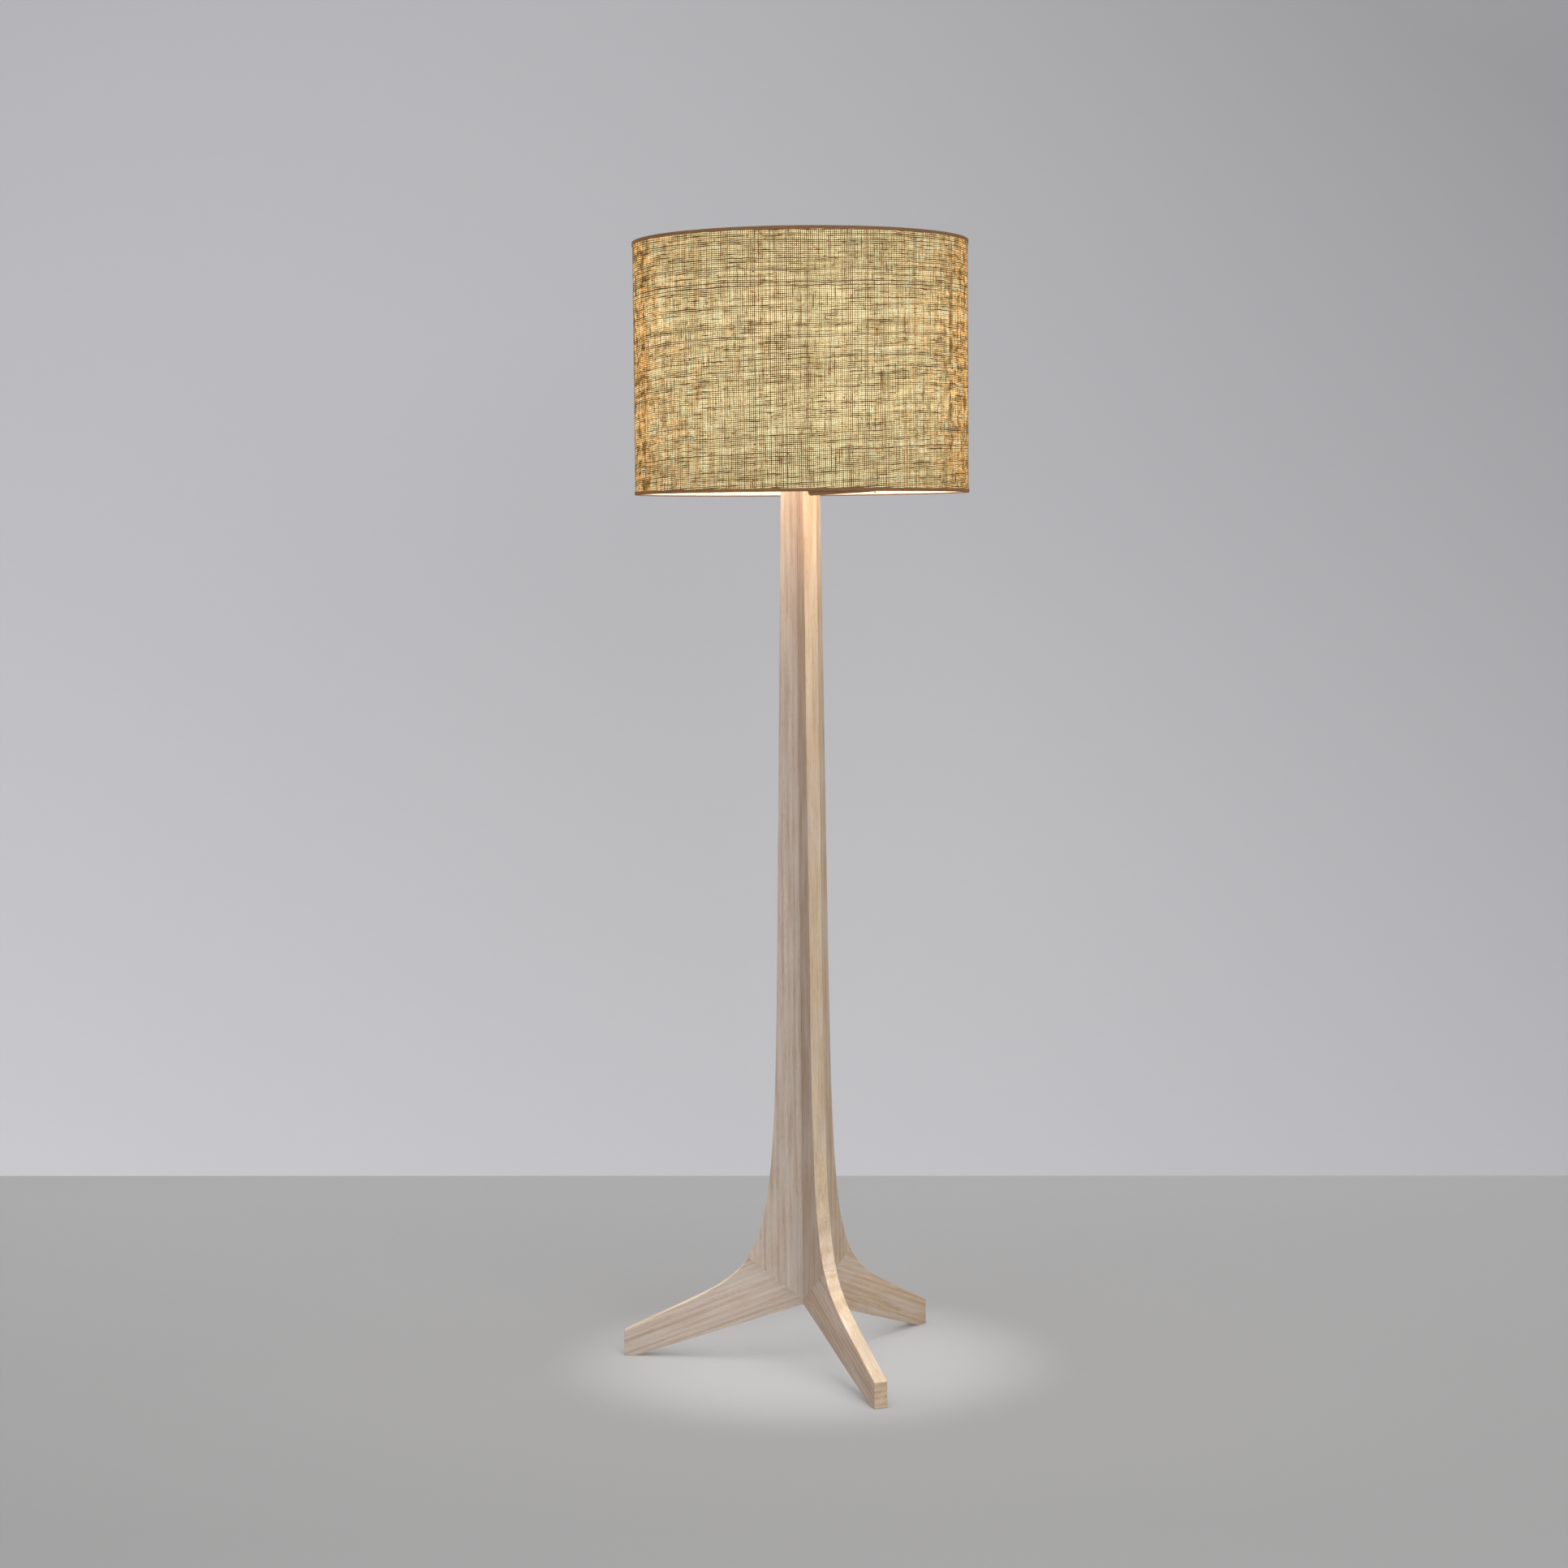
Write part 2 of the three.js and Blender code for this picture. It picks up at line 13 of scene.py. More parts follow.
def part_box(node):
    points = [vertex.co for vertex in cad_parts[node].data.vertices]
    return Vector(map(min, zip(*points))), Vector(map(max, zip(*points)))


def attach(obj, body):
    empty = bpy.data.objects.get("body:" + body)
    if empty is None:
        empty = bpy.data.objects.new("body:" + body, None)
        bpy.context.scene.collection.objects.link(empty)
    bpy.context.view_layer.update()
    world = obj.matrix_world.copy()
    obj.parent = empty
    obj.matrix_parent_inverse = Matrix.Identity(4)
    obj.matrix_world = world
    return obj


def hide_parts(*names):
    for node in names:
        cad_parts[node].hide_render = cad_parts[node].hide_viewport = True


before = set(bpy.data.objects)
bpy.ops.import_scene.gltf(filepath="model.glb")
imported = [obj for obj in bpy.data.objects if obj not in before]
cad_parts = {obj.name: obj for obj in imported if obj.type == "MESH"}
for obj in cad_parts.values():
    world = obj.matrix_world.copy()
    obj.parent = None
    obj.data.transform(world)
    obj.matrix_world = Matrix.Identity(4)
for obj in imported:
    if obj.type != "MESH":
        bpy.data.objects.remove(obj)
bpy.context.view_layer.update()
LEGS = {"front": -90, "right": 30, "left": 150}
MM = 0.001
low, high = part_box("shade_fabric")
AXIS = (low + high) / 2
AXIS.z = 0
SHADE_RADIUS = (high.x - low.x) / 2
print("frame", len(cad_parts), "nodes; column axis at", tuple(round(v, 4) for v in AXIS))

# %% [markdown]
# The camera comes first, so that everything after it can be judged from one place. It
# stands 4.7 m off, a little below the shade, with a moderately long lens. It looks
# slightly down, and it is rolled by half a degree, as a hand-levelled tripod often is.

# %% Camera
CAMERA_OFFSET = Vector((-1.7006, -4.3918, 1.278))
LOOK_ACROSS = Vector((0.3549, 0.9349, 0))
LOOK_DOWN = radians(4.565)
ROLL = radians(-0.495)
bpy.ops.object.select_all(action="DESELECT")
bpy.ops.object.camera_add(location=AXIS + CAMERA_OFFSET)
camera = bpy.context.object
direction = LOOK_ACROSS * cos(LOOK_DOWN) - Vector((0, 0, sin(LOOK_DOWN)))
aim = direction.to_track_quat("-Z", "Y") @ Quaternion((0, 0, 1), ROLL)
camera.rotation_euler = aim.to_euler()
camera.data.lens = 70.55
camera.data.sensor_width = 36
camera.data.dof.use_dof = False
bpy.context.scene.camera = camera
bpy.context.scene.view_settings.view_transform = "Standard"
print("camera at", tuple(round(v, 3) for v in camera.location))

# %% [markdown]
# Materials are built from nodes. One small function adds a node, sets it up and links
# it, and one turns an sRGB hex colour into the linear values that sockets hold.

# %% Node and colour helpers
def linear(code):
    channels = [int(code[i : i + 2], 16) / 255 for i in (1, 3, 5)]
    turned = [c / 12.92 if c <= 0.04045 else ((c + 0.055) / 1.055) ** 2.4 for c in channels]
    return (*turned, 1.0)


def add(tree, kind, inputs=(), **settings):
    made = tree.nodes.new("ShaderNode" + kind)
    for name, value in settings.items():
        setattr(made, name, value)
    for socket, value in dict(inputs).items():
        if isinstance(value, bpy.types.Node):
            value = next(out for out in value.outputs if out.enabled)
        if isinstance(value, bpy.types.NodeSocket):
            tree.links.new(value, made.inputs[socket])
        else:
            made.inputs[socket].default_value = value
    return made


def new_material(name):
    made = bpy.data.materials.new(name)
    made.use_nodes = True
    return made, made.node_tree, made.node_tree.nodes["Principled BSDF"]


def connect(tree, source, shader, socket):
    if isinstance(source, bpy.types.Node):
        source = next(out for out in source.outputs if out.enabled)
    tree.links.new(source, shader.inputs[socket])


def give(obj, material):
    obj.data.materials.clear()
    obj.data.materials.append(material)


print("mid grey #808080 is", round(linear("#808080")[0], 3), "as a linear value")

# %% [markdown]
# The room is a plain floor and a plain wall, both painted in a matt pale grey. They are
# only the stage. The wall is paler towards the floor and to the left, and the floor a
# little paler towards the wall: these runs of tone are painted light, for how the room's
# light falls on them. Each plane is one unit wide before it is scaled, so its
# own coordinates are too. Both are painted on one side and clear from the other, so the
# lamp can be seen from behind and from below.

# %% Floor and wall
FLOOR_SIZE = 24
WALL_HEIGHT = 12
WALL_MIDDLE = 3


def stage_paint(name, colour, along, start, end):
    """Matt paint whose tone runs from one (place, factor) to another along a direction; the run is painted
    light.
    """
    material, tree, shader = new_material(name)
    place = add(tree, "TexCoord").outputs["Object"]
    mottle = add(tree, "TexNoise", {"Vector": place, "Scale": 1.4, "Detail": 3})
    spread = add(tree, "MapRange", {"Value": mottle, "To Min": 0.97, "To Max": 1.03})
    run = add(tree, "VectorMath", {0: place, 1: along}, operation="DOT_PRODUCT").outputs["Value"]
    # The run of tone along the stage is painted light.
    painted_light_fade = add(tree, "MapRange", {0: run, 1: start[0], 2: end[0], 3: start[1], 4: end[1]})
    tone = add(tree, "Math", {0: spread, 1: painted_light_fade}, operation="MULTIPLY")
    shade = add(tree, "Mix", {0: 1.0, 6: linear(colour), 7: tone}, data_type="RGBA", blend_type="MULTIPLY")
    connect(tree, shade, shader, "Base Color")
    shader.inputs["Roughness"].default_value = 0.9
    behind = add(tree, "NewGeometry").outputs["Backfacing"]
    one_sided = add(tree, "MixShader", {0: behind, 1: shader, 2: add(tree, "BsdfTransparent")})
    connect(tree, one_sided, tree.nodes["Material Output"], "Surface")
    return material


WALL_DISTANCE = 6.101
across = LOOK_ACROSS.normalized()
wall_foot = camera.location + across * WALL_DISTANCE
wall_turn = atan2(across.y, across.x) - pi / 2 - radians(2.35)
bpy.ops.mesh.primitive_plane_add(size=1, location=(AXIS.x, AXIS.y, 0))
floor = bpy.context.object
floor.name = "floor"
floor.scale = (FLOOR_SIZE, FLOOR_SIZE, 1)
# The floor's run, paler towards the wall, is painted light.
near, far = (-0.82 / FLOOR_SIZE, 0.88), (1.2 / FLOOR_SIZE, 1.14)
give(floor, stage_paint("painted_floor", "#a3a3a3", LOOK_ACROSS, near, far))
bpy.ops.mesh.primitive_plane_add(size=1, location=(wall_foot.x, wall_foot.y, WALL_MIDDLE))
wall = bpy.context.object
wall.name = "wall"
wall.rotation_euler = (pi / 2, 0, wall_turn)
wall.scale = (FLOOR_SIZE, WALL_HEIGHT, 1)
# The wall's run, paler towards the floor and to the left, is painted light.
foot, head = (-0.31, 1.66), (-0.011, 0.64)
give(wall, stage_paint("painted_wall", "#b4b4b8", (0.98, 1, 0), foot, head))
print("wall", WALL_DISTANCE, "m from the camera")

# %% [markdown]
# A large soft box stands in front and a smaller one hangs overhead, under an even sky. The
# shade's own light leaves through its open bottom: a warm disc as wide as the opening
# stands for it, and lights the column top. The pool that it lays on the floor is drawn
# tighter, by a narrow spot high above that casts no shadows, so the feet keep soft ones.

# %% Lights
def soft_box(name, offset, size, power):
    bpy.ops.object.light_add(type="AREA", location=AXIS + Vector(offset))
    lamp = bpy.context.object
    lamp.name = name
    lamp.data.size = size
    lamp.data.energy = power
    towards = AXIS + Vector((0, 0, 0.8)) - lamp.location
    lamp.rotation_euler = towards.to_track_quat("-Z", "Y").to_euler()
    print(name, power, "W,", size, "m wide")


soft_box("soft_box_front", offset=(0.2, -4.6, 3.6), size=4.0, power=90)
soft_box("soft_box_top", offset=(-0.3, -0.6, 4.2), size=3.0, power=70)
sky = bpy.data.worlds.new("even_sky")
sky.use_nodes = True
sky.node_tree.nodes["Background"].inputs["Color"].default_value = (1, 1, 1, 1)
sky.node_tree.nodes["Background"].inputs["Strength"].default_value = 0.72
bpy.context.scene.world = sky

BULB_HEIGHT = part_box("bulb_glass")[1].z - 30 * MM
bpy.ops.object.light_add(type="AREA", location=(AXIS.x, AXIS.y, low.z + 12 * MM))
shade_glow = bpy.context.object
shade_glow.name = "shade_light"
shade_glow.data.shape = "DISK"
shade_glow.data.size = 2 * SHADE_RADIUS - 24 * MM
shade_glow.data.energy = 1.35
shade_glow.data.color = (1.0, 0.77, 0.62)
shade_glow.visible_camera = False
POOL_RADIUS = 0.43
POOL_HEIGHT = 3.4
bpy.ops.object.light_add(type="SPOT", location=(AXIS.x, AXIS.y, POOL_HEIGHT))
pool = bpy.context.object
pool.name = "floor_pool"
pool.data.energy = 243
pool.data.spot_size = 2 * atan(POOL_RADIUS / POOL_HEIGHT)
pool.data.spot_blend = 1.0
pool.data.use_shadow = False
print("the shade's opening gives", shade_glow.data.energy, "W")

# %% [markdown]
# Helpers that finish a piece. Every finished object stays at the origin, with its place
# in its mesh, gets its material, and is tied to the body that it moves with.

# %% Finishing helpers
def only(obj):
    bpy.ops.object.select_all(action="DESELECT")
    obj.select_set(True)
    bpy.context.view_layer.objects.active = obj


def smooth(obj, angle=32):
    only(obj)
    bpy.ops.object.shade_smooth_by_angle(angle=radians(angle))


def settle(obj):
    only(obj)
    bpy.ops.object.transform_apply(location=True, rotation=True, scale=True)


def finish(obj, material, body, slot, *nodes):
    settle(obj)
    give(obj, material)
    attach(obj, body)
    if nodes:
        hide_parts(*nodes)


def shaped(obj, kind, label, **settings):
    """Adds a modifier with its settings, and applies it."""
    modifier = obj.modifiers.new(label, kind)
    for name, value in settings.items():
        setattr(modifier, name, value)
    only(obj)
    bpy.ops.object.modifier_apply(modifier=modifier.name)


def from_points(name, points, faces):
    """A piece of cloth, from the points and faces of its mesh."""
    mesh = bpy.data.meshes.new(name)
    mesh.from_pydata(points, [], faces)
    obj = bpy.data.objects.new(name, mesh)
    bpy.context.scene.collection.objects.link(obj)
    return obj


def middle(node):
    """A node's centre on the floor, its bottom, its top and its radius."""
    a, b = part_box(node)
    centre = (a + b) / 2
    return Vector((centre.x, centre.y, 0)), a.z, b.z, (b.x - a.x) / 2


print("the shade spans", round(middle("shade_fabric")[3] * 2 / MM), "mm")

# %% [markdown]
# A turned piece starts as one point, which is extruded along its profile and then spun
# about its own axis. A collar is the simplest one: a square section with soft corners.

# %% Turning
def traced(name, profile, start):
    """One point, extruded along an upright profile that starts from a place. Left in edit mode."""
    bpy.ops.object.select_all(action="DESELECT")
    bpy.ops.mesh.primitive_plane_add(size=MM, location=(0, 0, 0))
    obj = bpy.context.object
    obj.name = name
    bpy.ops.object.mode_set(mode="EDIT")
    bpy.ops.mesh.select_all(action="SELECT")
    bpy.ops.mesh.merge(type="CENTER")
    across, height = profile[0]
    bpy.ops.transform.translate(value=(start.x + across, start.y, start.z + height))
    for next_across, next_height in profile[1:]:
        step = (next_across - across, 0, next_height - height)
        bpy.ops.mesh.extrude_region_move(TRANSFORM_OT_translate={"value": step})
        across, height = next_across, next_height
    bpy.ops.mesh.select_all(action="SELECT")
    return obj


def turned(name, profile, steps=64, centre=AXIS, sharp=32):
    obj = traced(name, profile, centre)
    bpy.ops.mesh.spin(steps=steps, angle=tau, center=(centre.x, centre.y, 0), axis=(0, 0, 1))
    bpy.ops.mesh.select_all(action="SELECT")
    bpy.ops.mesh.remove_doubles(threshold=0.002 * MM)
    bpy.ops.mesh.normals_make_consistent(inside=False)
    bpy.ops.object.mode_set(mode="OBJECT")
    smooth(obj, sharp)
    return obj


def rounded(corners, radius, steps=3):
    """A closed profile with its corners rounded off, as (radius, height) points."""
    points = []
    count = len(corners)
    for i, corner in enumerate(corners):
        here = Vector(corner)
        before = (Vector(corners[i - 1]) - here).normalized()
        after = (Vector(corners[(i + 1) % count]) - here).normalized()
        start, end = here + before * radius, here + after * radius
        for k in range(steps + 1):
            t = k / steps
            points.append(tuple(start * (1 - t) ** 2 + here * 2 * t * (1 - t) + end * t * t))
    return points + [points[0]]


def collar(name, inner, outer, bottom, top, soft, steps, centre=AXIS):
    corners = [(inner, bottom), (outer, bottom), (outer, top), (inner, top)]
    return turned(name, rounded(corners, soft), steps, centre)


print("a corner is rounded with", len(rounded([(0, 0), (1, 0), (1, 1)], 0.1)) // 3, "points")

# %% [markdown]
# A wire is a curve with a round bevel, made into a mesh. Its line runs smoothly through a
# few points.

# %% Wires
def wire(name, points, radius, sides=4, cyclic=False):
    curve = bpy.data.curves.new(name, "CURVE")
    curve.dimensions = "3D"
    curve.bevel_depth = radius
    curve.bevel_resolution = sides
    curve.use_fill_caps = True
    spline = curve.splines.new("POLY")
    spline.points.add(len(points) - 1)
    for point, place in zip(spline.points, points):
        point.co = (*place, 1)
    spline.use_cyclic_u = cyclic
    obj = bpy.data.objects.new(name, curve)
    bpy.context.scene.collection.objects.link(obj)
    only(obj)
    bpy.ops.object.convert(target="MESH")
    smooth(obj, 40)
    return obj


def along(points, steps):
    """A smooth line through the points, as a Catmull-Rom curve."""
    points = [Vector(p) for p in points]
    ends = [points[0] * 2 - points[1], *points, points[-1] * 2 - points[-2]]
    line = []
    for i in range(1, len(ends) - 2):
        a, b, c, d = ends[i - 1 : i + 3]
        for k in range(steps):
            t = k / steps
            place = 2 * b + (c - a) * t + (2 * a - 5 * b + 4 * c - d) * t * t
            place += (3 * b - a - 3 * c + d) * t ** 3
            line.append(0.5 * place)
    return line + [points[-1]]


print("a line through 3 points has", len(along([(0, 0, 0), (1, 0, 0), (1, 1, 0)], 12)), "points")

# %% [markdown]
# Limed oak: planed oak boards, brushed so that the pores open, then rubbed with a white
# wash and left matt. The wash greys the wood and keeps a little pink, and the pores and
# the growth rings still show as soft streaks along the grain. Each board has its own
# place in the log, so no two match. The finest pores, 0.3 mm across, would not show at
# this distance, so the fibres are drawn 2 mm wide as well.

# %% Limed oak
# Each noise: its name, its scale per millimetre in the log, its detail and roughness, and
# the range of it that counts, up to what share.
GRAIN = (
    ("broad", (0.09, 0.09, 0.0035), 3.0, 0.5, 0.35, 0.68, 0.30),
    ("fibre", (0.5, 0.5, 0.012), 4.0, 0.65, 0.40, 0.66, 0.42),
    ("pores", (1.9, 1.9, 0.09), 2.0, 0.5, 0.56, 0.68, 0.34),
    ("wash", (0.05, 0.05, 0.011), 5.0, 0.5, 0.42, 0.68, 0.42),
)
PORE_BROWN = "#7b6350"
LIME_WASH = "#cdc2bb"
FACE_TONES = {
    "front": ("#c4ad99", "#9a826f"),
    "right": ("#cbb49b", "#9f866c"),
    "left": ("#cfbeaf", "#a38f80"),
}
EDGE_TONES = ("#d5bfa3", "#ab9173")


def limed_oak(name, angle, lean, seed, light, dark):
    material, tree, shader = new_material(name)
    place = add(tree, "TexCoord").outputs["Object"]
    leg = add(tree, "Mapping", {"Vector": place, "Location": AXIS, "Rotation": (0, 0, radians(angle)),
              "Scale": (MM, MM, MM)}, vector_type="TEXTURE")
    log = add(tree, "Mapping", {"Vector": leg, "Location": (9 * seed, 5 * seed, 310 * seed),
              "Rotation": (0, lean, 0)}, vector_type="TEXTURE")
    ring_space = add(tree, "Mapping", {"Vector": log, "Location": (62 + 17 * seed, 34, 0),
                     "Rotation": (radians(0.9), radians(1.6 - 0.5 * seed), 0), "Scale": (1, 1, 0.05)})
    rings = add(tree, "TexWave", {"Vector": ring_space, "Scale": 0.034, "Distortion": 5.0, "Detail": 2.0,
                "Detail Scale": 0.9}, wave_type="RINGS", rings_direction="Z")
    noises, parts = {}, {}
    for key, scale, detail, roughness, start, end, most in GRAIN:
        placed = add(tree, "Mapping", {"Vector": log, "Scale": scale})
        noises[key] = add(tree, "TexNoise", {"Vector": placed, "Scale": 1.0, "Detail": detail,
                          "Roughness": roughness})
        parts[key] = add(tree, "MapRange", {0: noises[key], 1: start, 2: end, 4: most})
    ring_part = add(tree, "MapRange", {0: rings, 1: 0.25, 2: 1.0, 4: 0.28})
    depth = add(tree, "Math", {0: ring_part, 1: parts["broad"]}, operation="ADD")
    depth = add(tree, "Math", {0: depth, 1: parts["fibre"]}, operation="ADD", use_clamp=True)
    wood = add(tree, "Mix", {0: depth, 6: linear(light), 7: linear(dark)}, data_type="RGBA")
    wood = add(tree, "Mix", {0: parts["pores"], 6: wood, 7: linear(PORE_BROWN)}, data_type="RGBA")
    wood = add(tree, "Mix", {0: parts["wash"], 6: wood, 7: linear(LIME_WASH)}, data_type="RGBA")
    rough = add(tree, "MapRange", {0: noises["fibre"], 3: 0.62, 4: 0.86})
    height = add(tree, "Math", {0: noises["fibre"], 1: noises["pores"]}, operation="ADD")
    relief = add(tree, "Bump", {"Height": height, "Strength": 0.45, "Distance": 0.18 * MM})
    connect(tree, wood, shader, "Base Color")
    connect(tree, rough, shader, "Roughness")
    connect(tree, relief, shader, "Normal")
    shader.inputs["IOR"].default_value = 1.45
    shader.inputs["Specular IOR Level"].default_value = 0.3
    return material


print("oak: fibres", 1 / GRAIN[1][1][0], "mm wide, wash", LIME_WASH)

# %% [markdown]
# Each leg is two boards, an upright and a foot, sawn to one sweep and mitred together.
# The frame's boards have the right shape, but their edges are knife sharp. So each is
# copied, its loose triangles are merged into clean faces, and the edges that a hand
# would touch are eased by 1.2 mm. The mitre itself stays crisp. The wash greys the broad
# faces, each board a little differently, and was wiped off the edges, which stay paler and
# yellower.

# %% Boards
FOOT_LEAN = radians(90 + 22)
EASED = 1.2 * MM
HEART = 13 * MM


def board(node, angle, face_oak, edge_oak):
    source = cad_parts[node]
    obj = bpy.data.objects.new(node.replace("_board_", "_"), source.data.copy())
    bpy.context.scene.collection.objects.link(obj)
    only(obj)
    bpy.ops.object.mode_set(mode="EDIT")
    bpy.ops.mesh.select_all(action="SELECT")
    bpy.ops.mesh.remove_doubles(threshold=0.02 * MM)
    bpy.ops.mesh.dissolve_limited(angle_limit=radians(0.25))
    bpy.ops.object.mode_set(mode="OBJECT")
    mesh = obj.data
    outward = Vector((cos(radians(angle)), sin(radians(angle)), 0))
    sides = {}
    for face in mesh.polygons:
        for key in face.edge_keys:
            sides.setdefault(key, []).append(face.normal.copy())
    weights = mesh.attributes.new("bevel_weight_edge", "FLOAT", "EDGE")
    for edge in mesh.edges:
        normals = sides[tuple(sorted(edge.vertices))]
        ends = [mesh.vertices[i].co for i in edge.vertices]
        far = min((Vector((p.x, p.y, 0)) - AXIS).dot(outward) for p in ends) > HEART
        on_mitre = any(n.z * n.dot(outward) < 0 and abs(n.z) > 0.5 for n in normals)
        sharp = len(normals) == 2 and normals[0].angle(normals[1]) > radians(30)
        weights.data[edge.index].value = 1.0 if far and sharp and not on_mitre else 0.0
    shaped(obj, "BEVEL", "eased edges", width=EASED, segments=3, limit_method="WEIGHT")
    smooth(obj, 25)
    finish(obj, face_oak, "stand", "limed_oak", node)
    mesh.materials.append(edge_oak)
    sideways = Vector((-outward.y, outward.x, 0))
    for face in mesh.polygons:
        face.material_index = 0 if abs(face.normal.dot(sideways)) > 0.7 else 1


for number, (side, angle) in enumerate(LEGS.items()):
    for part, lean, seed in (("upright", 0.0, number + 1), ("foot", FOOT_LEAN, number + 4)):
        where = part + "_" + side
        face_oak = limed_oak("limed_oak_" + where, angle, lean, seed, *FACE_TONES[side])
        edge_oak = limed_oak("limed_oak_edge_" + where, angle, lean, seed, *EDGE_TONES)
        board(part + "_board_" + side, angle, face_oak, edge_oak)
print("six boards, edges eased", EASED / MM, "mm")

# %% [markdown]
# Plain finishes for the fittings: lacquered brass, zinc-plated steel, moulded black
# plastic, felt-faced rubber, vulcanised fibre and the beech of the hidden splines.
# Metals get fine scratches in their roughness, and plastics a faint moulded grain.

# %% Finishes for the fittings
def fitting(name, light, dark, rough, metal=0.0, grain=0.4, bump=0.02):
    material, tree, shader = new_material(name)
    place = add(tree, "TexCoord").outputs["Object"]
    scaled = add(tree, "Mapping", {"Vector": place, "Scale": (1 / (grain * MM),) * 3})
    fine = add(tree, "TexNoise", {"Vector": scaled, "Scale": 1.0, "Detail": 3.0})
    cloud = add(tree, "TexNoise", {"Vector": place, "Scale": 90.0, "Detail": 2.0})
    both = add(tree, "Math", {0: fine, 1: cloud}, operation="MULTIPLY")
    tone = add(tree, "MapRange", {"Value": both, "From Min": 0.1, "From Max": 0.45})
    colour = add(tree, "Mix", {0: tone, 6: linear(dark), 7: linear(light)}, data_type="RGBA")
    worn = add(tree, "MapRange", {"Value": both, "To Min": rough * 0.8, "To Max": min(1.0, rough * 1.5)})
    relief = add(tree, "Bump", {"Height": fine, "Strength": 0.3, "Distance": bump * MM})
    connect(tree, colour, shader, "Base Color")
    connect(tree, worn, shader, "Roughness")
    connect(tree, relief, shader, "Normal")
    shader.inputs["Metallic"].default_value = metal
    return material


lacquered_brass = fitting("lacquered_spun_brass", "#d6b877", "#b8954f", 0.26, metal=1.0)
zinc_steel = fitting("zinc_plated_steel", "#bcbcb8", "#8f8f8c", 0.34, metal=1.0)
white_wire = fitting("powder_coated_wire", "#f2efe6", "#e2ddd0", 0.5)
black_phenolic = fitting("moulded_black_phenolic", "#2a2927", "#171615", 0.4, grain=0.8)
felt_rubber = fitting("felt_faced_rubber", "#75695c", "#4a4139", 0.95, grain=0.5, bump=0.2)
grey_fibre = fitting("vulcanised_fibre", "#8f8068", "#6c5f4b", 0.85)
planed_beech = fitting("planed_beech", "#d8b98e", "#c09c6c", 0.6)
lead_jacket = fitting("extruded_lead_jacket", "#e6e2d6", "#d2cdbf", 0.55)

HIDDEN = {
    "mitre_spline_front": planed_beech, "mitre_spline_right": planed_beech,
    "mitre_spline_left": planed_beech, "nipple": lacquered_brass, "locknut": zinc_steel,
    "internal_lead": lead_jacket, "holder_insulating_sleeve": grey_fibre,
    "holder_switch_body": black_phenolic, "holder_screw_shell": lacquered_brass,
    "holder_contact": lacquered_brass, "bulb_contact": lacquered_brass,
}
for node_name, material in HIDDEN.items():
    give(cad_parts[node_name], material)
print(len(HIDDEN), "hidden nodes carried over")

# %% [markdown]
# Underneath are a felt-faced pad in each foot and the bushing where a cord would leave.
# They are turned: a profile spun about its own centre, with the rims rounded.

# %% Foot pads and cord bushing
for side in LEGS:
    centre, bottom, top, radius = middle("foot_pad_" + side)
    profile = [(0, bottom), (radius - 0.8 * MM, bottom), (radius - 0.25 * MM, bottom + 0.2 * MM),
               (radius, bottom + 0.8 * MM), (radius, top), (0, top)]
    pad = turned("glide_" + side, profile, 40, centre)
    finish(pad, felt_rubber, "stand", "foot_felt", "foot_pad_" + side)

centre, bottom, top, radius = middle("cord_bushing")
BUSHING_BORE = 3.6 * MM
BUSHING_NECK = 5.2 * MM
flange = bottom + 2 * MM
corners = [(BUSHING_BORE, bottom), (radius, bottom), (radius, flange), (BUSHING_NECK, flange),
           (BUSHING_NECK, top), (BUSHING_BORE, top)]
bushing = turned("bushing", rounded(corners, 0.5 * MM), 48)
finish(bushing, black_phenolic, "stand", "black_plastic", "cord_bushing")
print("three pads, and a bushing with a", 2 * BUSHING_BORE / MM, "mm bore")

# %% [markdown]
# On top of the column sit the cap plate, its three countersunk screws and a washer. The
# screw heads have a cross recess, cut by extruding a star of faces downwards.

# %% Column cap, screws and washer
centre, bottom, top, radius = middle("column_cap")
STEM_CLEARANCE = 5.1 * MM
cap = collar("cap_plate", STEM_CLEARANCE, radius, bottom, top, 0.6 * MM, 96)
finish(cap, zinc_steel, "stand", "steel", "column_cap")
centre, bottom, top, radius = middle("saddle_washer")
ring = collar("washer", STEM_CLEARANCE, radius, bottom, top, 0.3 * MM, 64)
finish(ring, zinc_steel, "stand", "steel", "saddle_washer")

SHANK = 1.8 * MM
RECESS = 1.7 * MM
for side in LEGS:
    centre, bottom, top, radius = middle("cap_screw_" + side)
    profile = [(0, bottom), (SHANK * 0.5, bottom), (SHANK, bottom + 4 * MM), (SHANK, top - 2.4 * MM),
               (radius, top - 0.3 * MM), (radius, top), (RECESS, top + 0.25 * MM), (0, top + 0.3 * MM)]
    screw = turned("wood_screw_" + side, profile, 24, centre)
    only(screw)
    bpy.ops.object.mode_set(mode="EDIT")
    bpy.ops.mesh.select_all(action="DESELECT")
    bpy.ops.object.mode_set(mode="OBJECT")
    for face in screw.data.polygons:
        reach = Vector((face.center.x, face.center.y, 0)) - centre
        turn = atan2(reach.y, reach.x) % (pi / 2)
        near = reach.length < RECESS and face.center.z > top
        face.select = near and abs(turn - pi / 4) < radians(22)
    bpy.ops.object.mode_set(mode="EDIT")
    bpy.ops.mesh.extrude_region_move(TRANSFORM_OT_translate={"value": (0, 0, -1.2 * MM)})
    bpy.ops.object.mode_set(mode="OBJECT")
    finish(screw, zinc_steel, "stand", "steel", "cap_screw_" + side)
print("cap plate, washer and", len(LEGS), "screws")

# %% [markdown]
# The harp: a wire bow that springs into a strip saddle. Two sleeves drop over the joints
# and lock it. The saddle is one strip: a line along its bends, extruded to its width,
# narrowed at both tips and thickened.

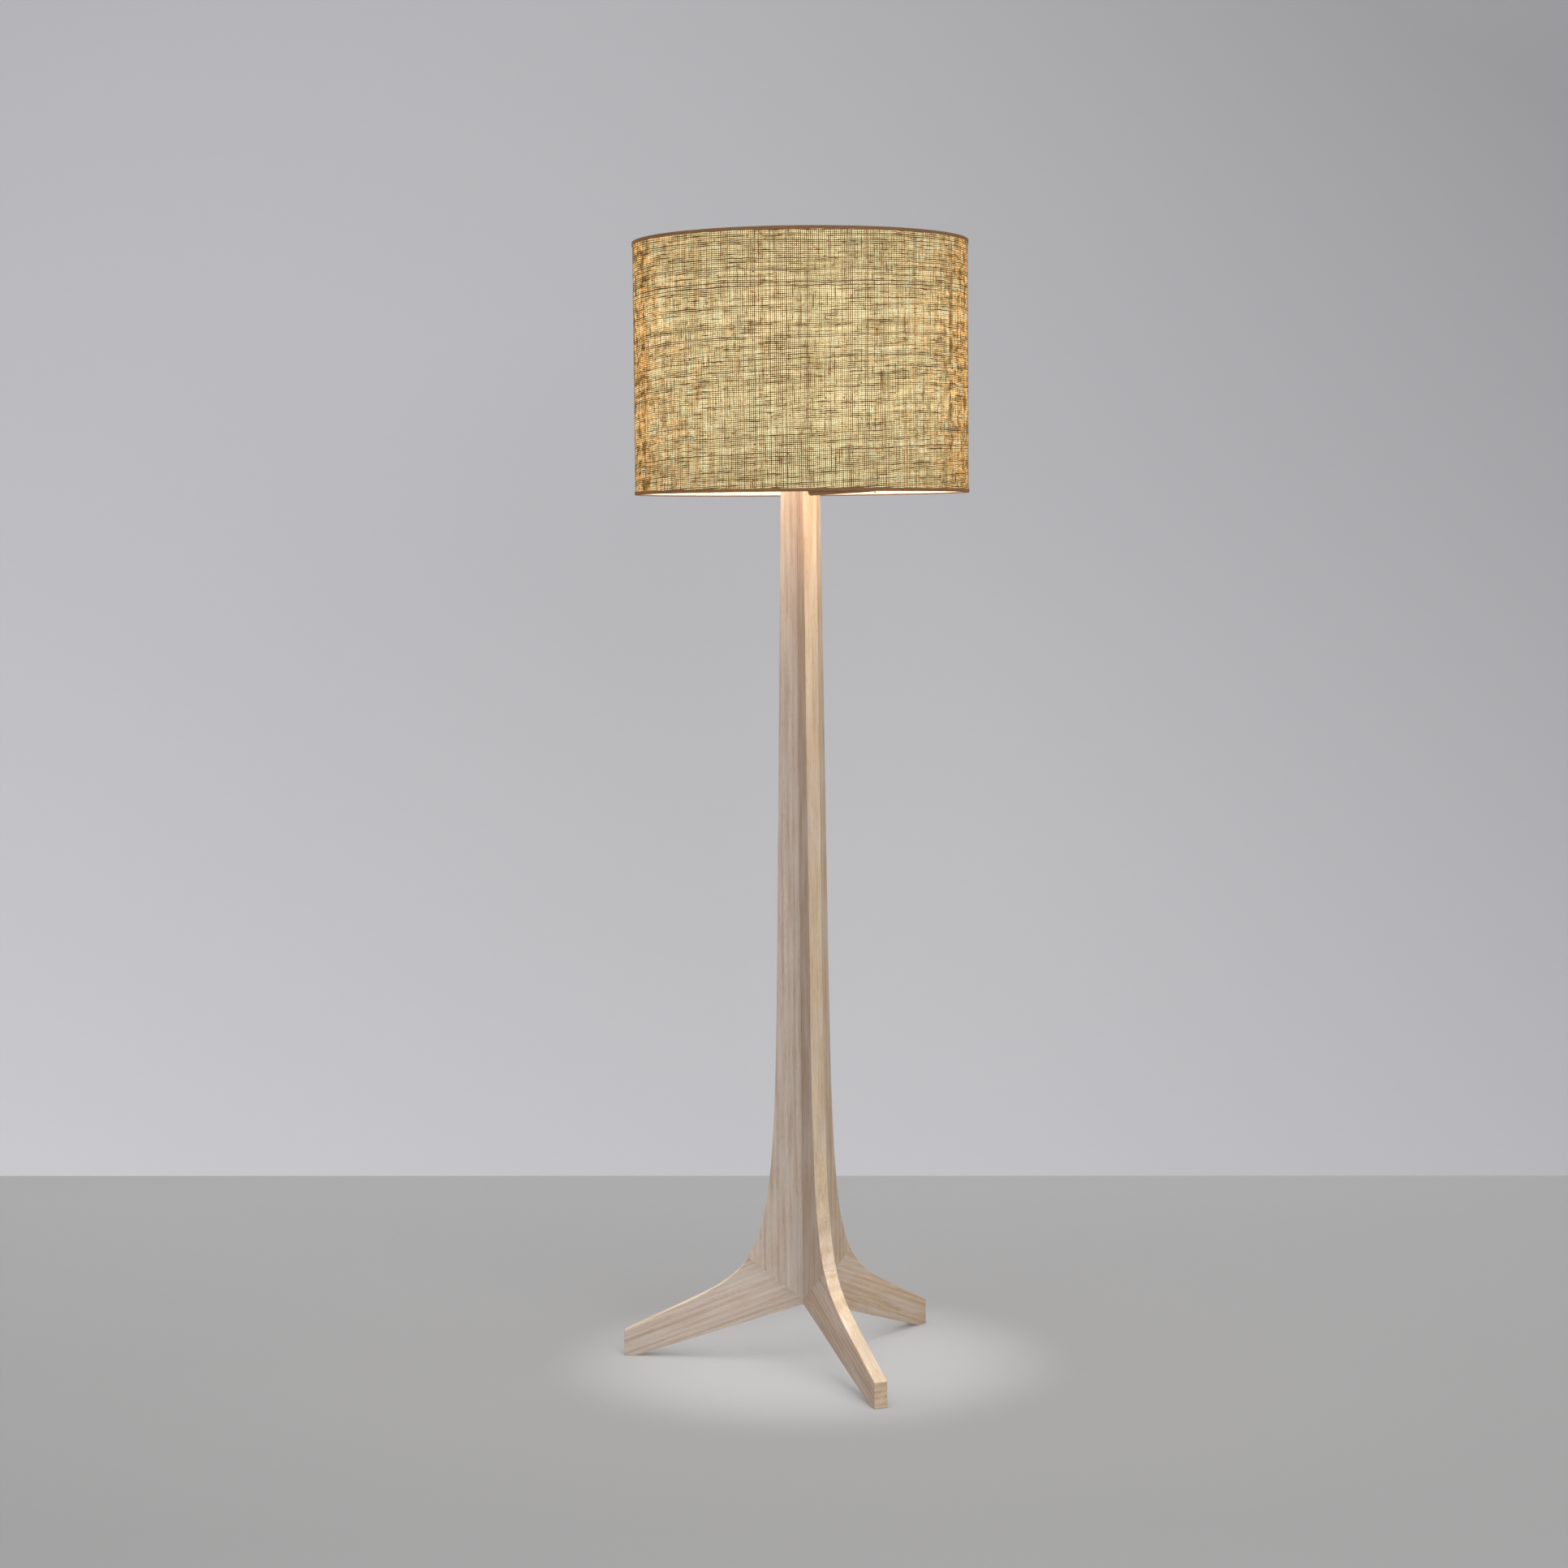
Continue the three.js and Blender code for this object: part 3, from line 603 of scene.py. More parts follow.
# %% Saddle
low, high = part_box("harp_saddle")
STRIP = 1.6 * MM
TIP_HALF = 2.7 * MM
SHOULDER = 11 * MM
foot_x = high.x - STRIP / 2
BEND = 4.2 * MM
base_z = low.z + 5 * MM
shoulder_z = high.z - SHOULDER
path = [(-foot_x, high.z), (-foot_x, shoulder_z), (-foot_x, shoulder_z - 2 * MM), (-foot_x, base_z)]
for angle in (0.4, 0.8, 1.2, pi / 2):
    path.append((-foot_x + BEND * (1 - cos(angle)), base_z - BEND * sin(angle)))
path.append((-12 * MM, low.z + STRIP / 2))
path += [(-x, z) for x, z in reversed(path)]
wide = (high.y - low.y) / 2
saddle = traced("saddle_strip", path, AXIS - Vector((0, wide, 0)))
bpy.ops.mesh.extrude_region_move(TRANSFORM_OT_translate={"value": (0, 2 * wide, 0)})
bpy.ops.mesh.select_all(action="SELECT")
bpy.ops.mesh.normals_make_consistent(inside=False)
bpy.ops.object.mode_set(mode="OBJECT")
for vertex in saddle.data.vertices:
    if vertex.co.z > shoulder_z - 0.5 * MM:
        vertex.co.y = AXIS.y + copysign(TIP_HALF, vertex.co.y - AXIS.y)
shaped(saddle, "SOLIDIFY", "strip thickness", thickness=STRIP, offset=0)
shaped(saddle, "BEVEL", "deburred", width=0.3 * MM, segments=2, limit_method="ANGLE")
smooth(saddle, 35)
finish(saddle, lacquered_brass, "stand", "brass", "harp_saddle")
print("saddle", round(2 * foot_x / MM), "mm across")

# %% [markdown]
# The bow is one wire, bent to a rounded arch, with a flat eye at its top. Each leg goes
# into a sleeve.

# %% Harp bow and sleeves
low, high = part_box("harp_bow")
HARP_WIRE = 1.9 * MM
half_spread = middle("harp_sleeve_right")[0].x - AXIS.x
bulge = high.x - AXIS.x - HARP_WIRE
rise = high.z - 2 * MM - low.z
shares = [(half_spread, 0), (half_spread, 34 * MM / rise), (bulge * 0.86, 0.34), (bulge, 0.56),
          (bulge * 0.87, 0.8), (bulge * 0.46, 0.96)]
left = [(AXIS.x - x, AXIS.y, low.z + s * rise) for x, s in shares]
right = [(AXIS.x + x, AXIS.y, low.z + s * rise) for x, s in reversed(shares)]
bow_line = along([*left, (AXIS.x, AXIS.y, low.z + rise), *right], 14)
bow = wire("bow", bow_line, HARP_WIRE, 5)
finish(bow, lacquered_brass, "stand", "brass", "harp_bow")
eye = collar("bow_eye", 2.5 * MM, 7.5 * MM, high.z - 4 * MM, high.z, 0.7 * MM, 48)
finish(eye, lacquered_brass, "stand", "brass")

for side in ("left", "right"):
    centre, bottom, top, radius = middle("harp_sleeve_" + side)
    bore = radius - 1.3 * MM
    ferrule = collar("ferrule_" + side, bore, radius, bottom, top, 0.5 * MM, 40, centre)
    finish(ferrule, lacquered_brass, "sleeve_" + side, "brass", "harp_sleeve_" + side)
print("harp wire", 2 * HARP_WIRE / MM, "mm,", round(rise / MM), "mm tall")

# %% [markdown]
# The stud is riveted so that it turns in the bow's eye. Its thread carries the finial,
# which has a plain foot, a waist and a turned ball.

# %% Stud and finial
centre, bottom, top, radius = middle("harp_stud")
seat_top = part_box("spider_hub")[0].z - 0.3 * MM
THREAD = 3.15 * MM
PITCH = 0.94 * MM
RIVET = 2.2 * MM
SEAT = 8 * MM
seat_edge = SEAT - 0.4 * MM
head_top = bottom + 1.6 * MM
profile = [(0, bottom), (3.4 * MM, bottom), (4.3 * MM, bottom + 0.5 * MM), (4.5 * MM, head_top),
           (RIVET, head_top), (RIVET, seat_top - 2.5 * MM), (seat_edge, seat_top - 2.5 * MM),
           (SEAT, seat_top - 2.1 * MM), (SEAT, seat_top - 0.4 * MM), (seat_edge, seat_top),
           (THREAD, seat_top)]
turns = int((top - 1 * MM - seat_top) / PITCH)
for i in range(turns):
    profile.append((THREAD - 0.35 * MM, seat_top + (i + 0.5) * PITCH))
    profile.append((THREAD, seat_top + (i + 1) * PITCH))
profile += [(THREAD - 1 * MM, top), (0, top)]
stud = turned("swivel_stud", profile, 40)
finish(stud, lacquered_brass, "swivel_stud", "brass", "harp_stud")

centre, bottom, top, radius = middle("finial")
FINIAL_BORE = 3.45 * MM
waist = radius * 0.55
neck_top = bottom + 6.4 * MM
outline = [(FINIAL_BORE, bottom), (radius - 0.5 * MM, bottom), (radius, bottom + 0.5 * MM),
           (radius, bottom + 1.6 * MM), (radius - 0.6 * MM, bottom + 2.2 * MM),
           (waist, bottom + 3.6 * MM), (waist, neck_top)]
for i in range(1, 13):
    share = i / 13
    swell = sin(pi * share) ** 0.62
    outline.append((max(waist * (1 - share), radius * swell), neck_top + (top - neck_top) * share))
bore_top = bottom + 16.6 * MM
outline += [(0, top), (0, bore_top), (FINIAL_BORE, bore_top), (FINIAL_BORE, bottom)]
knob_end = turned("finial_knob", outline, 56)
finish(knob_end, lacquered_brass, "finial", "brass", "finial")
print("stud with", turns, "turns of thread, finial", round((top - bottom) / MM), "mm tall")

# %% [markdown]
# The lampholder is spun brass: a flared cap, and a shell with a rolled bead.

# %% Lampholder
WALL = 0.8 * MM
centre, bottom, top, radius = middle("holder_cap")
neck = 7.8 * MM
flare_bottom = bottom + 3 * MM
flare_top = bottom + 14 * MM
throat = neck + 0.8 * MM
outer = [(neck, bottom), (throat, flare_bottom)]
for i in range(1, 9):
    share = i / 8
    spread = throat + (radius - throat) * share ** 0.72
    outer.append((spread, flare_bottom + (flare_top - flare_bottom) * share))
outer += [(radius, top - 0.6 * MM), (radius - 0.2 * MM, top)]
inner = [(max(STEM_CLEARANCE, r - WALL), z + 0.25 * WALL) for r, z in reversed(outer[2:-1])]
profile = [(STEM_CLEARANCE, bottom), *outer, (radius - WALL, top), *inner,
           (STEM_CLEARANCE, flare_bottom + WALL), (STEM_CLEARANCE, bottom)]
cap_cup = turned("holder_cup", profile, 64)
finish(cap_cup, lacquered_brass, "stand", "brass", "holder_cap")

centre, bottom, top, radius = middle("holder_shell")
BEAD = 0.55 * MM
side_radius = radius - BEAD
bore = side_radius - WALL
outer = [(side_radius, bottom)]
for i in range(9):
    angle = pi * i / 8 - pi / 2
    outer.append((side_radius + BEAD * cos(angle), top - 9 * MM + BEAD * 2 * sin(angle)))
outer += [(side_radius, top - 0.5 * MM), (side_radius - 0.4 * MM, top)]
profile = [(bore, bottom), *outer, (bore, top), (bore, bottom)]
shell = turned("holder_barrel", profile, 64)
finish(shell, lacquered_brass, "stand", "brass", "holder_shell")
print("lampholder", round(2 * radius / MM), "mm across")

# %% [markdown]
# The knob's grip is a cylinder whose points are pushed in and out for its flutes, and
# pressed flat at its free end.

# %% Switch knob
low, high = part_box("switch_knob")
knob_z = (low.z + high.z) / 2
SHAFT = 1.7 * MM
GRIP = 5.2 * MM
GRIP_LENGTH = 9 * MM


def along_y(name, vertices, radius, start, end):
    bpy.ops.object.select_all(action="DESELECT")
    place = (AXIS.x, (start + end) / 2, knob_z)
    bpy.ops.mesh.primitive_cylinder_add(vertices=vertices, radius=radius, depth=end - start,
                                        location=place, rotation=(pi / 2, 0, 0))
    bpy.context.object.name = name
    settle(bpy.context.object)
    return bpy.context.object


shaft = along_y("knob_shaft", 24, SHAFT, low.y + GRIP_LENGTH, high.y)
grip = along_y("turn_knob", 36, GRIP, low.y, low.y + GRIP_LENGTH)
for vertex in grip.data.vertices:
    dx, dz = vertex.co.x - AXIS.x, vertex.co.z - knob_z
    flute = 1 + 0.07 * cos(12 * atan2(dz, dx))
    flat = 0.42 if vertex.co.y < low.y + GRIP_LENGTH / 2 else 1.0
    vertex.co.x = AXIS.x + dx * flute * flat
    vertex.co.z = knob_z + dz * flute * (1.45 if flat < 1 else 1.0)
shaped(grip, "BEVEL", "moulded edges", width=0.5 * MM, segments=2)
smooth(grip, 40)
smooth(shaft, 40)
finish(grip, black_phenolic, "knob", "black_plastic", "switch_knob")
finish(shaft, zinc_steel, "knob", "steel")
print("knob", 2 * GRIP / MM, "mm across, on a", 2 * SHAFT / MM, "mm shaft")

# %% [markdown]
# The bulb is a lit, frosted globe on a brass screw base. The glass glows evenly, which
# is what an inside-frosted lamp looks like when it is on. First the screw base.

# %% Screw base
centre, bottom, top, radius = middle("bulb_base")
THREAD_DEPTH = 0.35 * MM
core = radius - THREAD_DEPTH
THREAD_TURNS = 5
THREAD_HEIGHT = 18 * MM
STEPS = 40
thread_start = bottom + 3 * MM
profile = [(0, bottom), (core * 0.5, bottom), (core * 0.7, bottom + 1.2 * MM),
           (core - THREAD_DEPTH, thread_start)]
for i in range(STEPS + 1):
    ripple = THREAD_DEPTH * cos(tau * THREAD_TURNS * i / STEPS)
    profile.append((core - ripple, thread_start + THREAD_HEIGHT * i / STEPS))
profile += [(core, top - 1.2 * MM), (core - 0.1 * MM, top), (0, top)]
base = turned("screw_base", profile, 48)
finish(base, lacquered_brass, "bulb", "brass", "bulb_base")
print("screw base", round(2 * radius / MM, 1), "mm across")

# %% [markdown]
# The glass starts as a neck, swells along a curve, and ends as most of a ball.

# %% Globe
frosted, tree, shader = new_material("inside_frosted_glass_lit")
place = add(tree, "TexCoord").outputs["Object"]
frost = add(tree, "TexNoise", {"Vector": place, "Scale": 900.0, "Detail": 2.0})
frost_rough = add(tree, "MapRange", {"Value": frost, "To Min": 0.35, "To Max": 0.6})
connect(tree, frost_rough, shader, "Roughness")
shader.inputs["Base Color"].default_value = linear("#fbf4e6")
shader.inputs["Emission Color"].default_value = linear("#fff0cf")
shader.inputs["Emission Strength"].default_value = 2.2

centre, bottom, top, radius = middle("bulb_glass")
globe = top - radius
join = radians(-38)
neck_radius = 12.6 * MM
start = Vector((neck_radius, bottom))
end = Vector((radius * cos(join), globe + radius * sin(join)))
pull = [start, start + Vector((0, 14 * MM)), end + Vector((sin(join), -cos(join))) * 12 * MM, end]
outline = []
for i in range(17):
    t = i / 16
    blend = [(1 - t) ** 3, 3 * (1 - t) ** 2 * t, 3 * (1 - t) * t * t, t ** 3]
    outline.append(tuple(sum((p * b for p, b in zip(pull, blend)), Vector((0, 0)))))
for i in range(1, 25):
    angle = join + (pi / 2 - join) * i / 24
    outline.append((radius * cos(angle) if i < 24 else 0, globe + radius * sin(angle)))
inside = [(max(0, r - MM), min(z, top - MM)) for r, z in reversed(outline)]
glass = turned("globe", outline + inside + [outline[0]], 64)
finish(glass, frosted, "bulb", "frosted_glass", "bulb_glass")
# A lit globe throws no shadow of its own.
glass.visible_shadow = False
print("globe", round(2 * radius / MM), "mm across")

# %% [markdown]
# Burlap: a plain weave of thick, uneven jute yarn over a lit liner. Seen straight on, the
# gaps between the yarns are bright and the yarns dark. Seen along the cloth, at the two
# sides of the shade, the yarns hide the gaps, and what shows is their glowing flanks. So
# the upright yarns are real ridges in the mesh, and the level yarns are drawn by the
# material. The UV map counts yarns both ways, so that the pattern follows the ridges.
# Light passes less and less through more jute, as a power of how much there is.

# %% Jute yarns
WARP_PITCH = 2.91 * MM
WEFT_PITCH = 2.75 * MM
RIDGE_TOP = 0.23
RIDGE_FOOT = 0.265
WANDER_PATCH = ("wander", 7, 7, 2)
BAND_PATCH = ("band", 24, 4, 4)
STRIPE_PATCH = ("stripe", 4, 30, 3)
RUST_PATCH = ("rust", 3.5, 1.1, 3)
HAIR_PATCH = ("hair", 0.5, 0.5, 2)


def yarn_set(tree, across, length, seed, edge):
    """Parallel yarns: how covered a point is, how much jute is in the way, how far off the yarn it is."""
    number = add(tree, "Math", {0: across}, operation="ROUND")
    offset = add(tree, "Math", {0: across, 1: number}, operation="SUBTRACT")
    away = add(tree, "Math", {0: offset}, operation="ABSOLUTE")
    seeded = add(tree, "Math", {0: number, 1: seed}, operation="ADD")
    own = add(tree, "TexWhiteNoise", {"W": seeded}, noise_dimensions="1D")
    lane = add(tree, "CombineXYZ", {0: length, 1: number})
    lane = add(tree, "Mapping", {"Vector": lane, "Scale": (0.075, 3.71, 1)})
    slub = add(tree, "TexNoise", {"Vector": lane, "Scale": 1.0, "Detail": 3.0, "Roughness": 0.6},
               noise_dimensions="2D")
    swell = add(tree, "MapRange", {0: slub, 1: 0.30, 2: 0.75, 3: 0.15, 4: 0.32})
    girth = add(tree, "MapRange", {0: own.outputs["Value"], 3: 0.0, 4: 0.09})
    half = add(tree, "Math", {0: swell, 1: girth}, operation="ADD")
    inner = add(tree, "Math", {0: half, 1: edge}, operation="SUBTRACT")
    outer = add(tree, "Math", {0: half, 1: edge}, operation="ADD")
    cover = add(tree, "MapRange", {0: away, 1: inner, 2: outer, 3: 1.0, 4: 0.0},
                interpolation_type="SMOOTHSTEP")
    second = add(tree, "SeparateXYZ", {0: own.outputs["Color"]}).outputs[1]
    jute = add(tree, "MapRange", {0: own.outputs["Value"], 3: 0.7, 4: 1.2})
    heavy = add(tree, "MapRange", {0: second, 1: 0.83, 2: 0.97, 3: 0.0, 4: 1.3})
    jute = add(tree, "Math", {0: jute, 1: heavy}, operation="ADD")
    lump = add(tree, "MapRange", {0: slub, 1: 0.58, 2: 0.70, 3: 0.0, 4: 1.6})
    jute = add(tree, "Math", {0: jute, 1: lump}, operation="ADD")
    return cover, jute, away


print("jute yarns", WARP_PITCH / MM, "by", WEFT_PITCH / MM, "mm apart")

# %% [markdown]
# The two sets of yarns make the cloth. On top of them come the things that make burlap
# uneven: bands and stripes of denser cloth, reddish lengths, dark knots and loose hair.
# The cloth is brightest level with the bulb, and dims above and below it.

# %% Burlap finish
# The base colour in the gaps is dark. This is painted shade, for the cream liner that lies in shadow behind
# the yarns.
GAP_PAINTED_SHADE = "#4c452e"
RUST = (0.68, 0.34, 0.22, 1)
FLANK_GLOW = (1.5, 0.80, 0.29, 1)
WARP_TINT = (0.25, 0.203, 0.122, 1)
WEFT_TINT = (0.28, 0.25, 0.155, 1)


def burlap(name, gap, yarn, glow=1.0, layers=1.0):
    material, tree, shader = new_material(name)
    cloth = add(tree, "UVMap", uv_map="cloth")
    patch = {}
    for key, wide, high, detail in (WANDER_PATCH, BAND_PATCH, STRIPE_PATCH, RUST_PATCH, HAIR_PATCH):
        placed = add(tree, "Mapping", {"Vector": cloth, "Scale": (1 / wide, 1 / high, 1)})
        patch[key] = add(tree, "TexNoise", {"Vector": placed, "Scale": 1.0, "Detail": detail},
                         noise_dimensions="2D")
    wander = add(tree, "VectorMath", {0: patch["wander"].outputs["Color"], 1: (0.3, 0.8, 0),
                 2: (-0.15, -0.4, 0)}, operation="MULTIPLY_ADD")
    spot = add(tree, "VectorMath", {0: cloth, 1: wander}, operation="ADD")
    spot = add(tree, "SeparateXYZ", {0: spot})
    warp, warp_jute, off_yarn = yarn_set(tree, spot.outputs[0], spot.outputs[1], 0.3, 0.03)
    weft, weft_jute, _ = yarn_set(tree, spot.outputs[1], spot.outputs[0], 0.7, 0.07)
    stripe = add(tree, "MapRange", {0: patch["stripe"], 1: 0.3, 2: 0.7, 3: 0.75 * layers, 4: 1.3 * layers})
    band = add(tree, "MapRange", {0: patch["band"], 1: 0.3, 2: 0.7, 3: 0.55 * layers, 4: 1.6 * layers})
    through = []
    for cover, jute, density, tint in ((warp, warp_jute, stripe, WARP_TINT),
                                       (weft, weft_jute, band, WEFT_TINT)):
        depth = add(tree, "Math", {0: cover, 1: jute}, operation="MULTIPLY")
        depth = add(tree, "Math", {0: depth, 1: density}, operation="MULTIPLY")
        through.append(add(tree, "Gamma", {"Color": tint, "Gamma": depth}))
    rising = add(tree, "MapRange", {0: off_yarn, 1: RIDGE_TOP - 0.01, 2: RIDGE_TOP + 0.01})
    falling = add(tree, "MapRange", {0: off_yarn, 1: RIDGE_FOOT - 0.01, 2: RIDGE_FOOT + 0.01,
                  3: 1.0, 4: 0.0})
    flank = add(tree, "Math", {0: rising, 1: falling}, operation="MULTIPLY")
    lit = add(tree, "Mix", {0: 1.0, 6: linear(gap), 7: through[0]}, data_type="RGBA", blend_type="MULTIPLY")
    lit = add(tree, "Mix", {0: flank, 6: lit, 7: FLANK_GLOW}, data_type="RGBA")
    lit = add(tree, "Mix", {0: 1.0, 6: lit, 7: through[1]}, data_type="RGBA", blend_type="MULTIPLY")
    rust = add(tree, "MapRange", {0: patch["rust"], 1: 0.61, 2: 0.70, 3: 0.0, 4: 0.9})
    lit = add(tree, "Mix", {0: rust, 6: lit, 7: RUST}, data_type="RGBA", blend_type="MULTIPLY")
    cells = add(tree, "TexVoronoi", {"Vector": cloth, "Scale": 0.11}, voronoi_dimensions="2D")
    pick = add(tree, "SeparateXYZ", {0: cells.outputs["Color"]}).outputs[0]
    size = add(tree, "Math", {0: pick, 1: 0.075, 2: -0.03}, operation="MULTIPLY_ADD")
    knot = add(tree, "Math", {0: cells.outputs["Distance"], 1: size}, operation="LESS_THAN")
    plain = add(tree, "MapRange", {0: knot, 3: 1.0, 4: 0.12})
    hairy = add(tree, "MapRange", {0: patch["hair"], 1: 0.3, 2: 0.7, 3: 0.84 * glow, 4: 1.16 * glow})
    place = add(tree, "TexCoord").outputs["Object"]
    height = add(tree, "SeparateXYZ", {0: place}).outputs[2]
    off_bulb = add(tree, "Math", {0: height, 1: BULB_HEIGHT}, operation="SUBTRACT")
    off_bulb = add(tree, "Math", {0: off_bulb}, operation="ABSOLUTE")
    level = add(tree, "MapRange", {0: off_bulb, 1: 0.03, 2: 0.20, 3: 1.0, 4: 0.84},
                interpolation_type="SMOOTHSTEP")
    bright = add(tree, "Math", {0: hairy, 1: level}, operation="MULTIPLY")
    bright = add(tree, "Math", {0: bright, 1: plain}, operation="MULTIPLY")
    lit = add(tree, "Mix", {0: 1.0, 6: lit, 7: bright}, data_type="RGBA", blend_type="MULTIPLY")
    covered = add(tree, "Math", {0: warp, 1: weft}, operation="MAXIMUM")
    face = add(tree, "Mix", {0: covered, 6: linear(GAP_PAINTED_SHADE), 7: linear(yarn)}, data_type="RGBA")
    raised = add(tree, "Math", {0: hairy, 1: 0.3, 2: weft}, operation="MULTIPLY_ADD")
    relief = add(tree, "Bump", {"Height": raised, "Strength": 0.6, "Distance": 0.4 * MM})
    connect(tree, face, shader, "Base Color")
    connect(tree, lit, shader, "Emission Color")
    connect(tree, relief, shader, "Normal")
    shader.inputs["Emission Strength"].default_value = 1.0
    shader.inputs["Roughness"].default_value = 0.95
    shader.inputs["Specular IOR Level"].default_value = 0.1
    shader.inputs["Sheen Weight"].default_value = 0.25
    shader.inputs["Sheen Roughness"].default_value = 0.4
    shader.inputs["Sheen Tint"].default_value = linear("#e0a060")
    return material


GAP_CREAM = "#f8f8d2"
JUTE_BROWN = "#5c4328"
open_burlap = burlap("open_jute_burlap_lit", GAP_CREAM, JUTE_BROWN, glow=1.42)
# The hem strips glow too, more dimly. This is painted light, for the bulb's light passing through the
# folded cloth.
hem_burlap = burlap("folded_jute_hem_lit", "#cf8f58", "#735640", glow=0.4, layers=1.6)
seam_burlap = burlap("lapped_jute_burlap_lit", GAP_CREAM, JUTE_BROWN, glow=1.42, layers=2.0)
print("burlap:", len(open_burlap.node_tree.nodes), "nodes")

# %% [markdown]
# The liner is a smooth sheet of styrene, bright all over because the bulb is close. Its
# inside is what shows as a bright line under the front rim.

# %% Liner finish
lit_liner, tree, shader = new_material("styrene_liner_lit")
place = add(tree, "TexCoord").outputs["Object"]
sheet = add(tree, "TexNoise", {"Vector": place, "Scale": 14.0, "Detail": 4.0})
cream = add(tree, "Mix", {0: sheet, 6: linear("#fff6dc"), 7: linear("#f7e6bf")}, data_type="RGBA")
connect(tree, cream, shader, "Base Color")
connect(tree, cream, shader, "Emission Color")
shader.inputs["Emission Strength"].default_value = 0.26
shader.inputs["Roughness"].default_value = 0.55
print("liner: emission", shader.inputs["Emission Strength"].default_value)

# %% [markdown]
# The burlap is rolled from one cut of cloth and lapped at the back. It is a closed mesh
# with six columns of points to each upright yarn: top, two shoulders, two feet and the
# gap. Yarns stray a little from upright, and the cloth isn't quite square to the rim, so
# level yarns climb slightly to the right, and more so near the bottom.

# %% Burlap wall
random.seed(11)
centre, bottom, top, radius = middle("shade_fabric")
CLOTH = 0.8 * MM
RIDGE = 0.62 * MM
SEAM = radians(78)
YARNS = round(tau * radius / WARP_PITCH)
# Each column of points: how far it is off its yarn, in yarns, and its height on the ridge.
COLUMNS = ((0, 1.0), (RIDGE_TOP, 0.82), (RIDGE_FOOT, 0.0), (0.5, -0.1),
           (-RIDGE_FOOT, 0.0), (-RIDGE_TOP, 0.82))
ROWS = 20
SKEW = 0.045


def weave_map(obj, count):
    """A UV map in yarns: count(turn, point) gives the upright yarn's number and the level one's."""
    layer = obj.data.uv_layers.new(name="cloth")
    places = {}
    for vertex in obj.data.vertices:
        spot = vertex.co - AXIS
        turn = (atan2(spot.y, spot.x) - SEAM) % tau
        places[vertex.index] = (turn, spot)
    for face in obj.data.polygons:
        turns = [places[i][0] for i in face.vertices]
        wrapped = max(turns) - min(turns) > pi
        for corner, turn in zip(face.loop_indices, turns):
            if wrapped and turn < pi:
                turn += tau
            spot = places[obj.data.loops[corner].vertex_index][1]
            layer.data[corner].uv = count(turn, spot)


def level_count(turn, spot):
    rise = (spot.z - bottom) / (top - bottom)
    arc = (turn - pi - radians(9)) * radius
    slope = SKEW * max(0.0, 1 - rise) ** 0.7
    ray = Vector((spot.x, spot.y, 0)).normalized() * radius
    place = ray + Vector((0, 0, spot.z))
    wander = 3.0 * noise.noise(place * 6) + 1.2 * noise.noise(place * 19)
    return (spot.z - bottom - arc * slope + wander * MM) / WEFT_PITCH


def yarn_row(reach, height, ridged):
    """One level row of points round the shade, on the ridges or on the plain inner face."""
    row = []
    rise = (height - bottom) / (top - bottom)
    held = min(1.0, 12 * rise, 12 * (1 - rise))
    for column in range(YARNS * len(COLUMNS)):
        yarn, part = divmod(column, len(COLUMNS))
        phase, ridge = COLUMNS[part]
        nearest = yarn + (1 if phase < 0 else 0)
        turn = SEAM + (nearest + phase + stray[nearest]) / YARNS * tau
        spot = Vector((cos(turn) * radius, sin(turn) * radius, height))
        sway = 2.0 * noise.noise(Vector((spot.x * 7, spot.y * 7, height * 5))) * MM
        turn += sway / radius
        wave = held * (0.22 * noise.noise(spot * 16) + 0.08 * noise.noise(spot * 40)) * MM
        out = reach + (RIDGE * (ridge - 1) + wave) * ridged
        row.append((AXIS.x + cos(turn) * out, AXIS.y + sin(turn) * out, height))
    return row


stray = [random.uniform(-0.07, 0.07) for _ in range(YARNS)]
stray.append(stray[0])
print("the cloth has", YARNS, "upright yarns")

# %% [markdown]
# The rows of points are joined into one closed skin, and each corner of each face gets its
# place on the cloth, counted in yarns.

# %% Cloth skin
steps = YARNS * len(COLUMNS)
outside = radius - 0.03 * MM
rings = [yarn_row(radius - CLOTH, bottom, 0)]
rings += [yarn_row(outside, bottom + (top - bottom) * i / ROWS, 1) for i in range(ROWS + 1)]
rings.append(yarn_row(radius - CLOTH, top, 0))
faces, uvs = [], []
for ring in range(len(rings)):
    above = (ring + 1) % len(rings)
    here, there = ring * steps, above * steps
    for column in range(steps):
        after = (column + 1) % steps
        faces.append((here + column, here + after, there + after, there + column))
        for corner, level in ((column, ring), (column + 1, ring), (column + 1, above), (column, above)):
            yarn, part = divmod(corner, len(COLUMNS))
            phase = COLUMNS[part][0]
            count = yarn + (1 if phase < 0 else 0) + phase
            x, y, height = rings[level][corner % steps]
            uvs.append((count, level_count(count / YARNS * tau, Vector((x, y, height)) - AXIS)))
wall_cloth = from_points("burlap_wall", [point for ring in rings for point in ring], faces)
layer = wall_cloth.data.uv_layers.new(name="cloth")
layer.data.foreach_set("uv", [value for uv in uvs for value in uv])
smooth(wall_cloth)
finish(wall_cloth, open_burlap, "shade", "burlap", "shade_fabric")
print("burlap wall", YARNS, "upright yarns,", len(wall_cloth.data.polygons), "faces")

# %% [markdown]
# At the back the cloth laps over itself by 11 mm, and the upper edge is a little frayed.

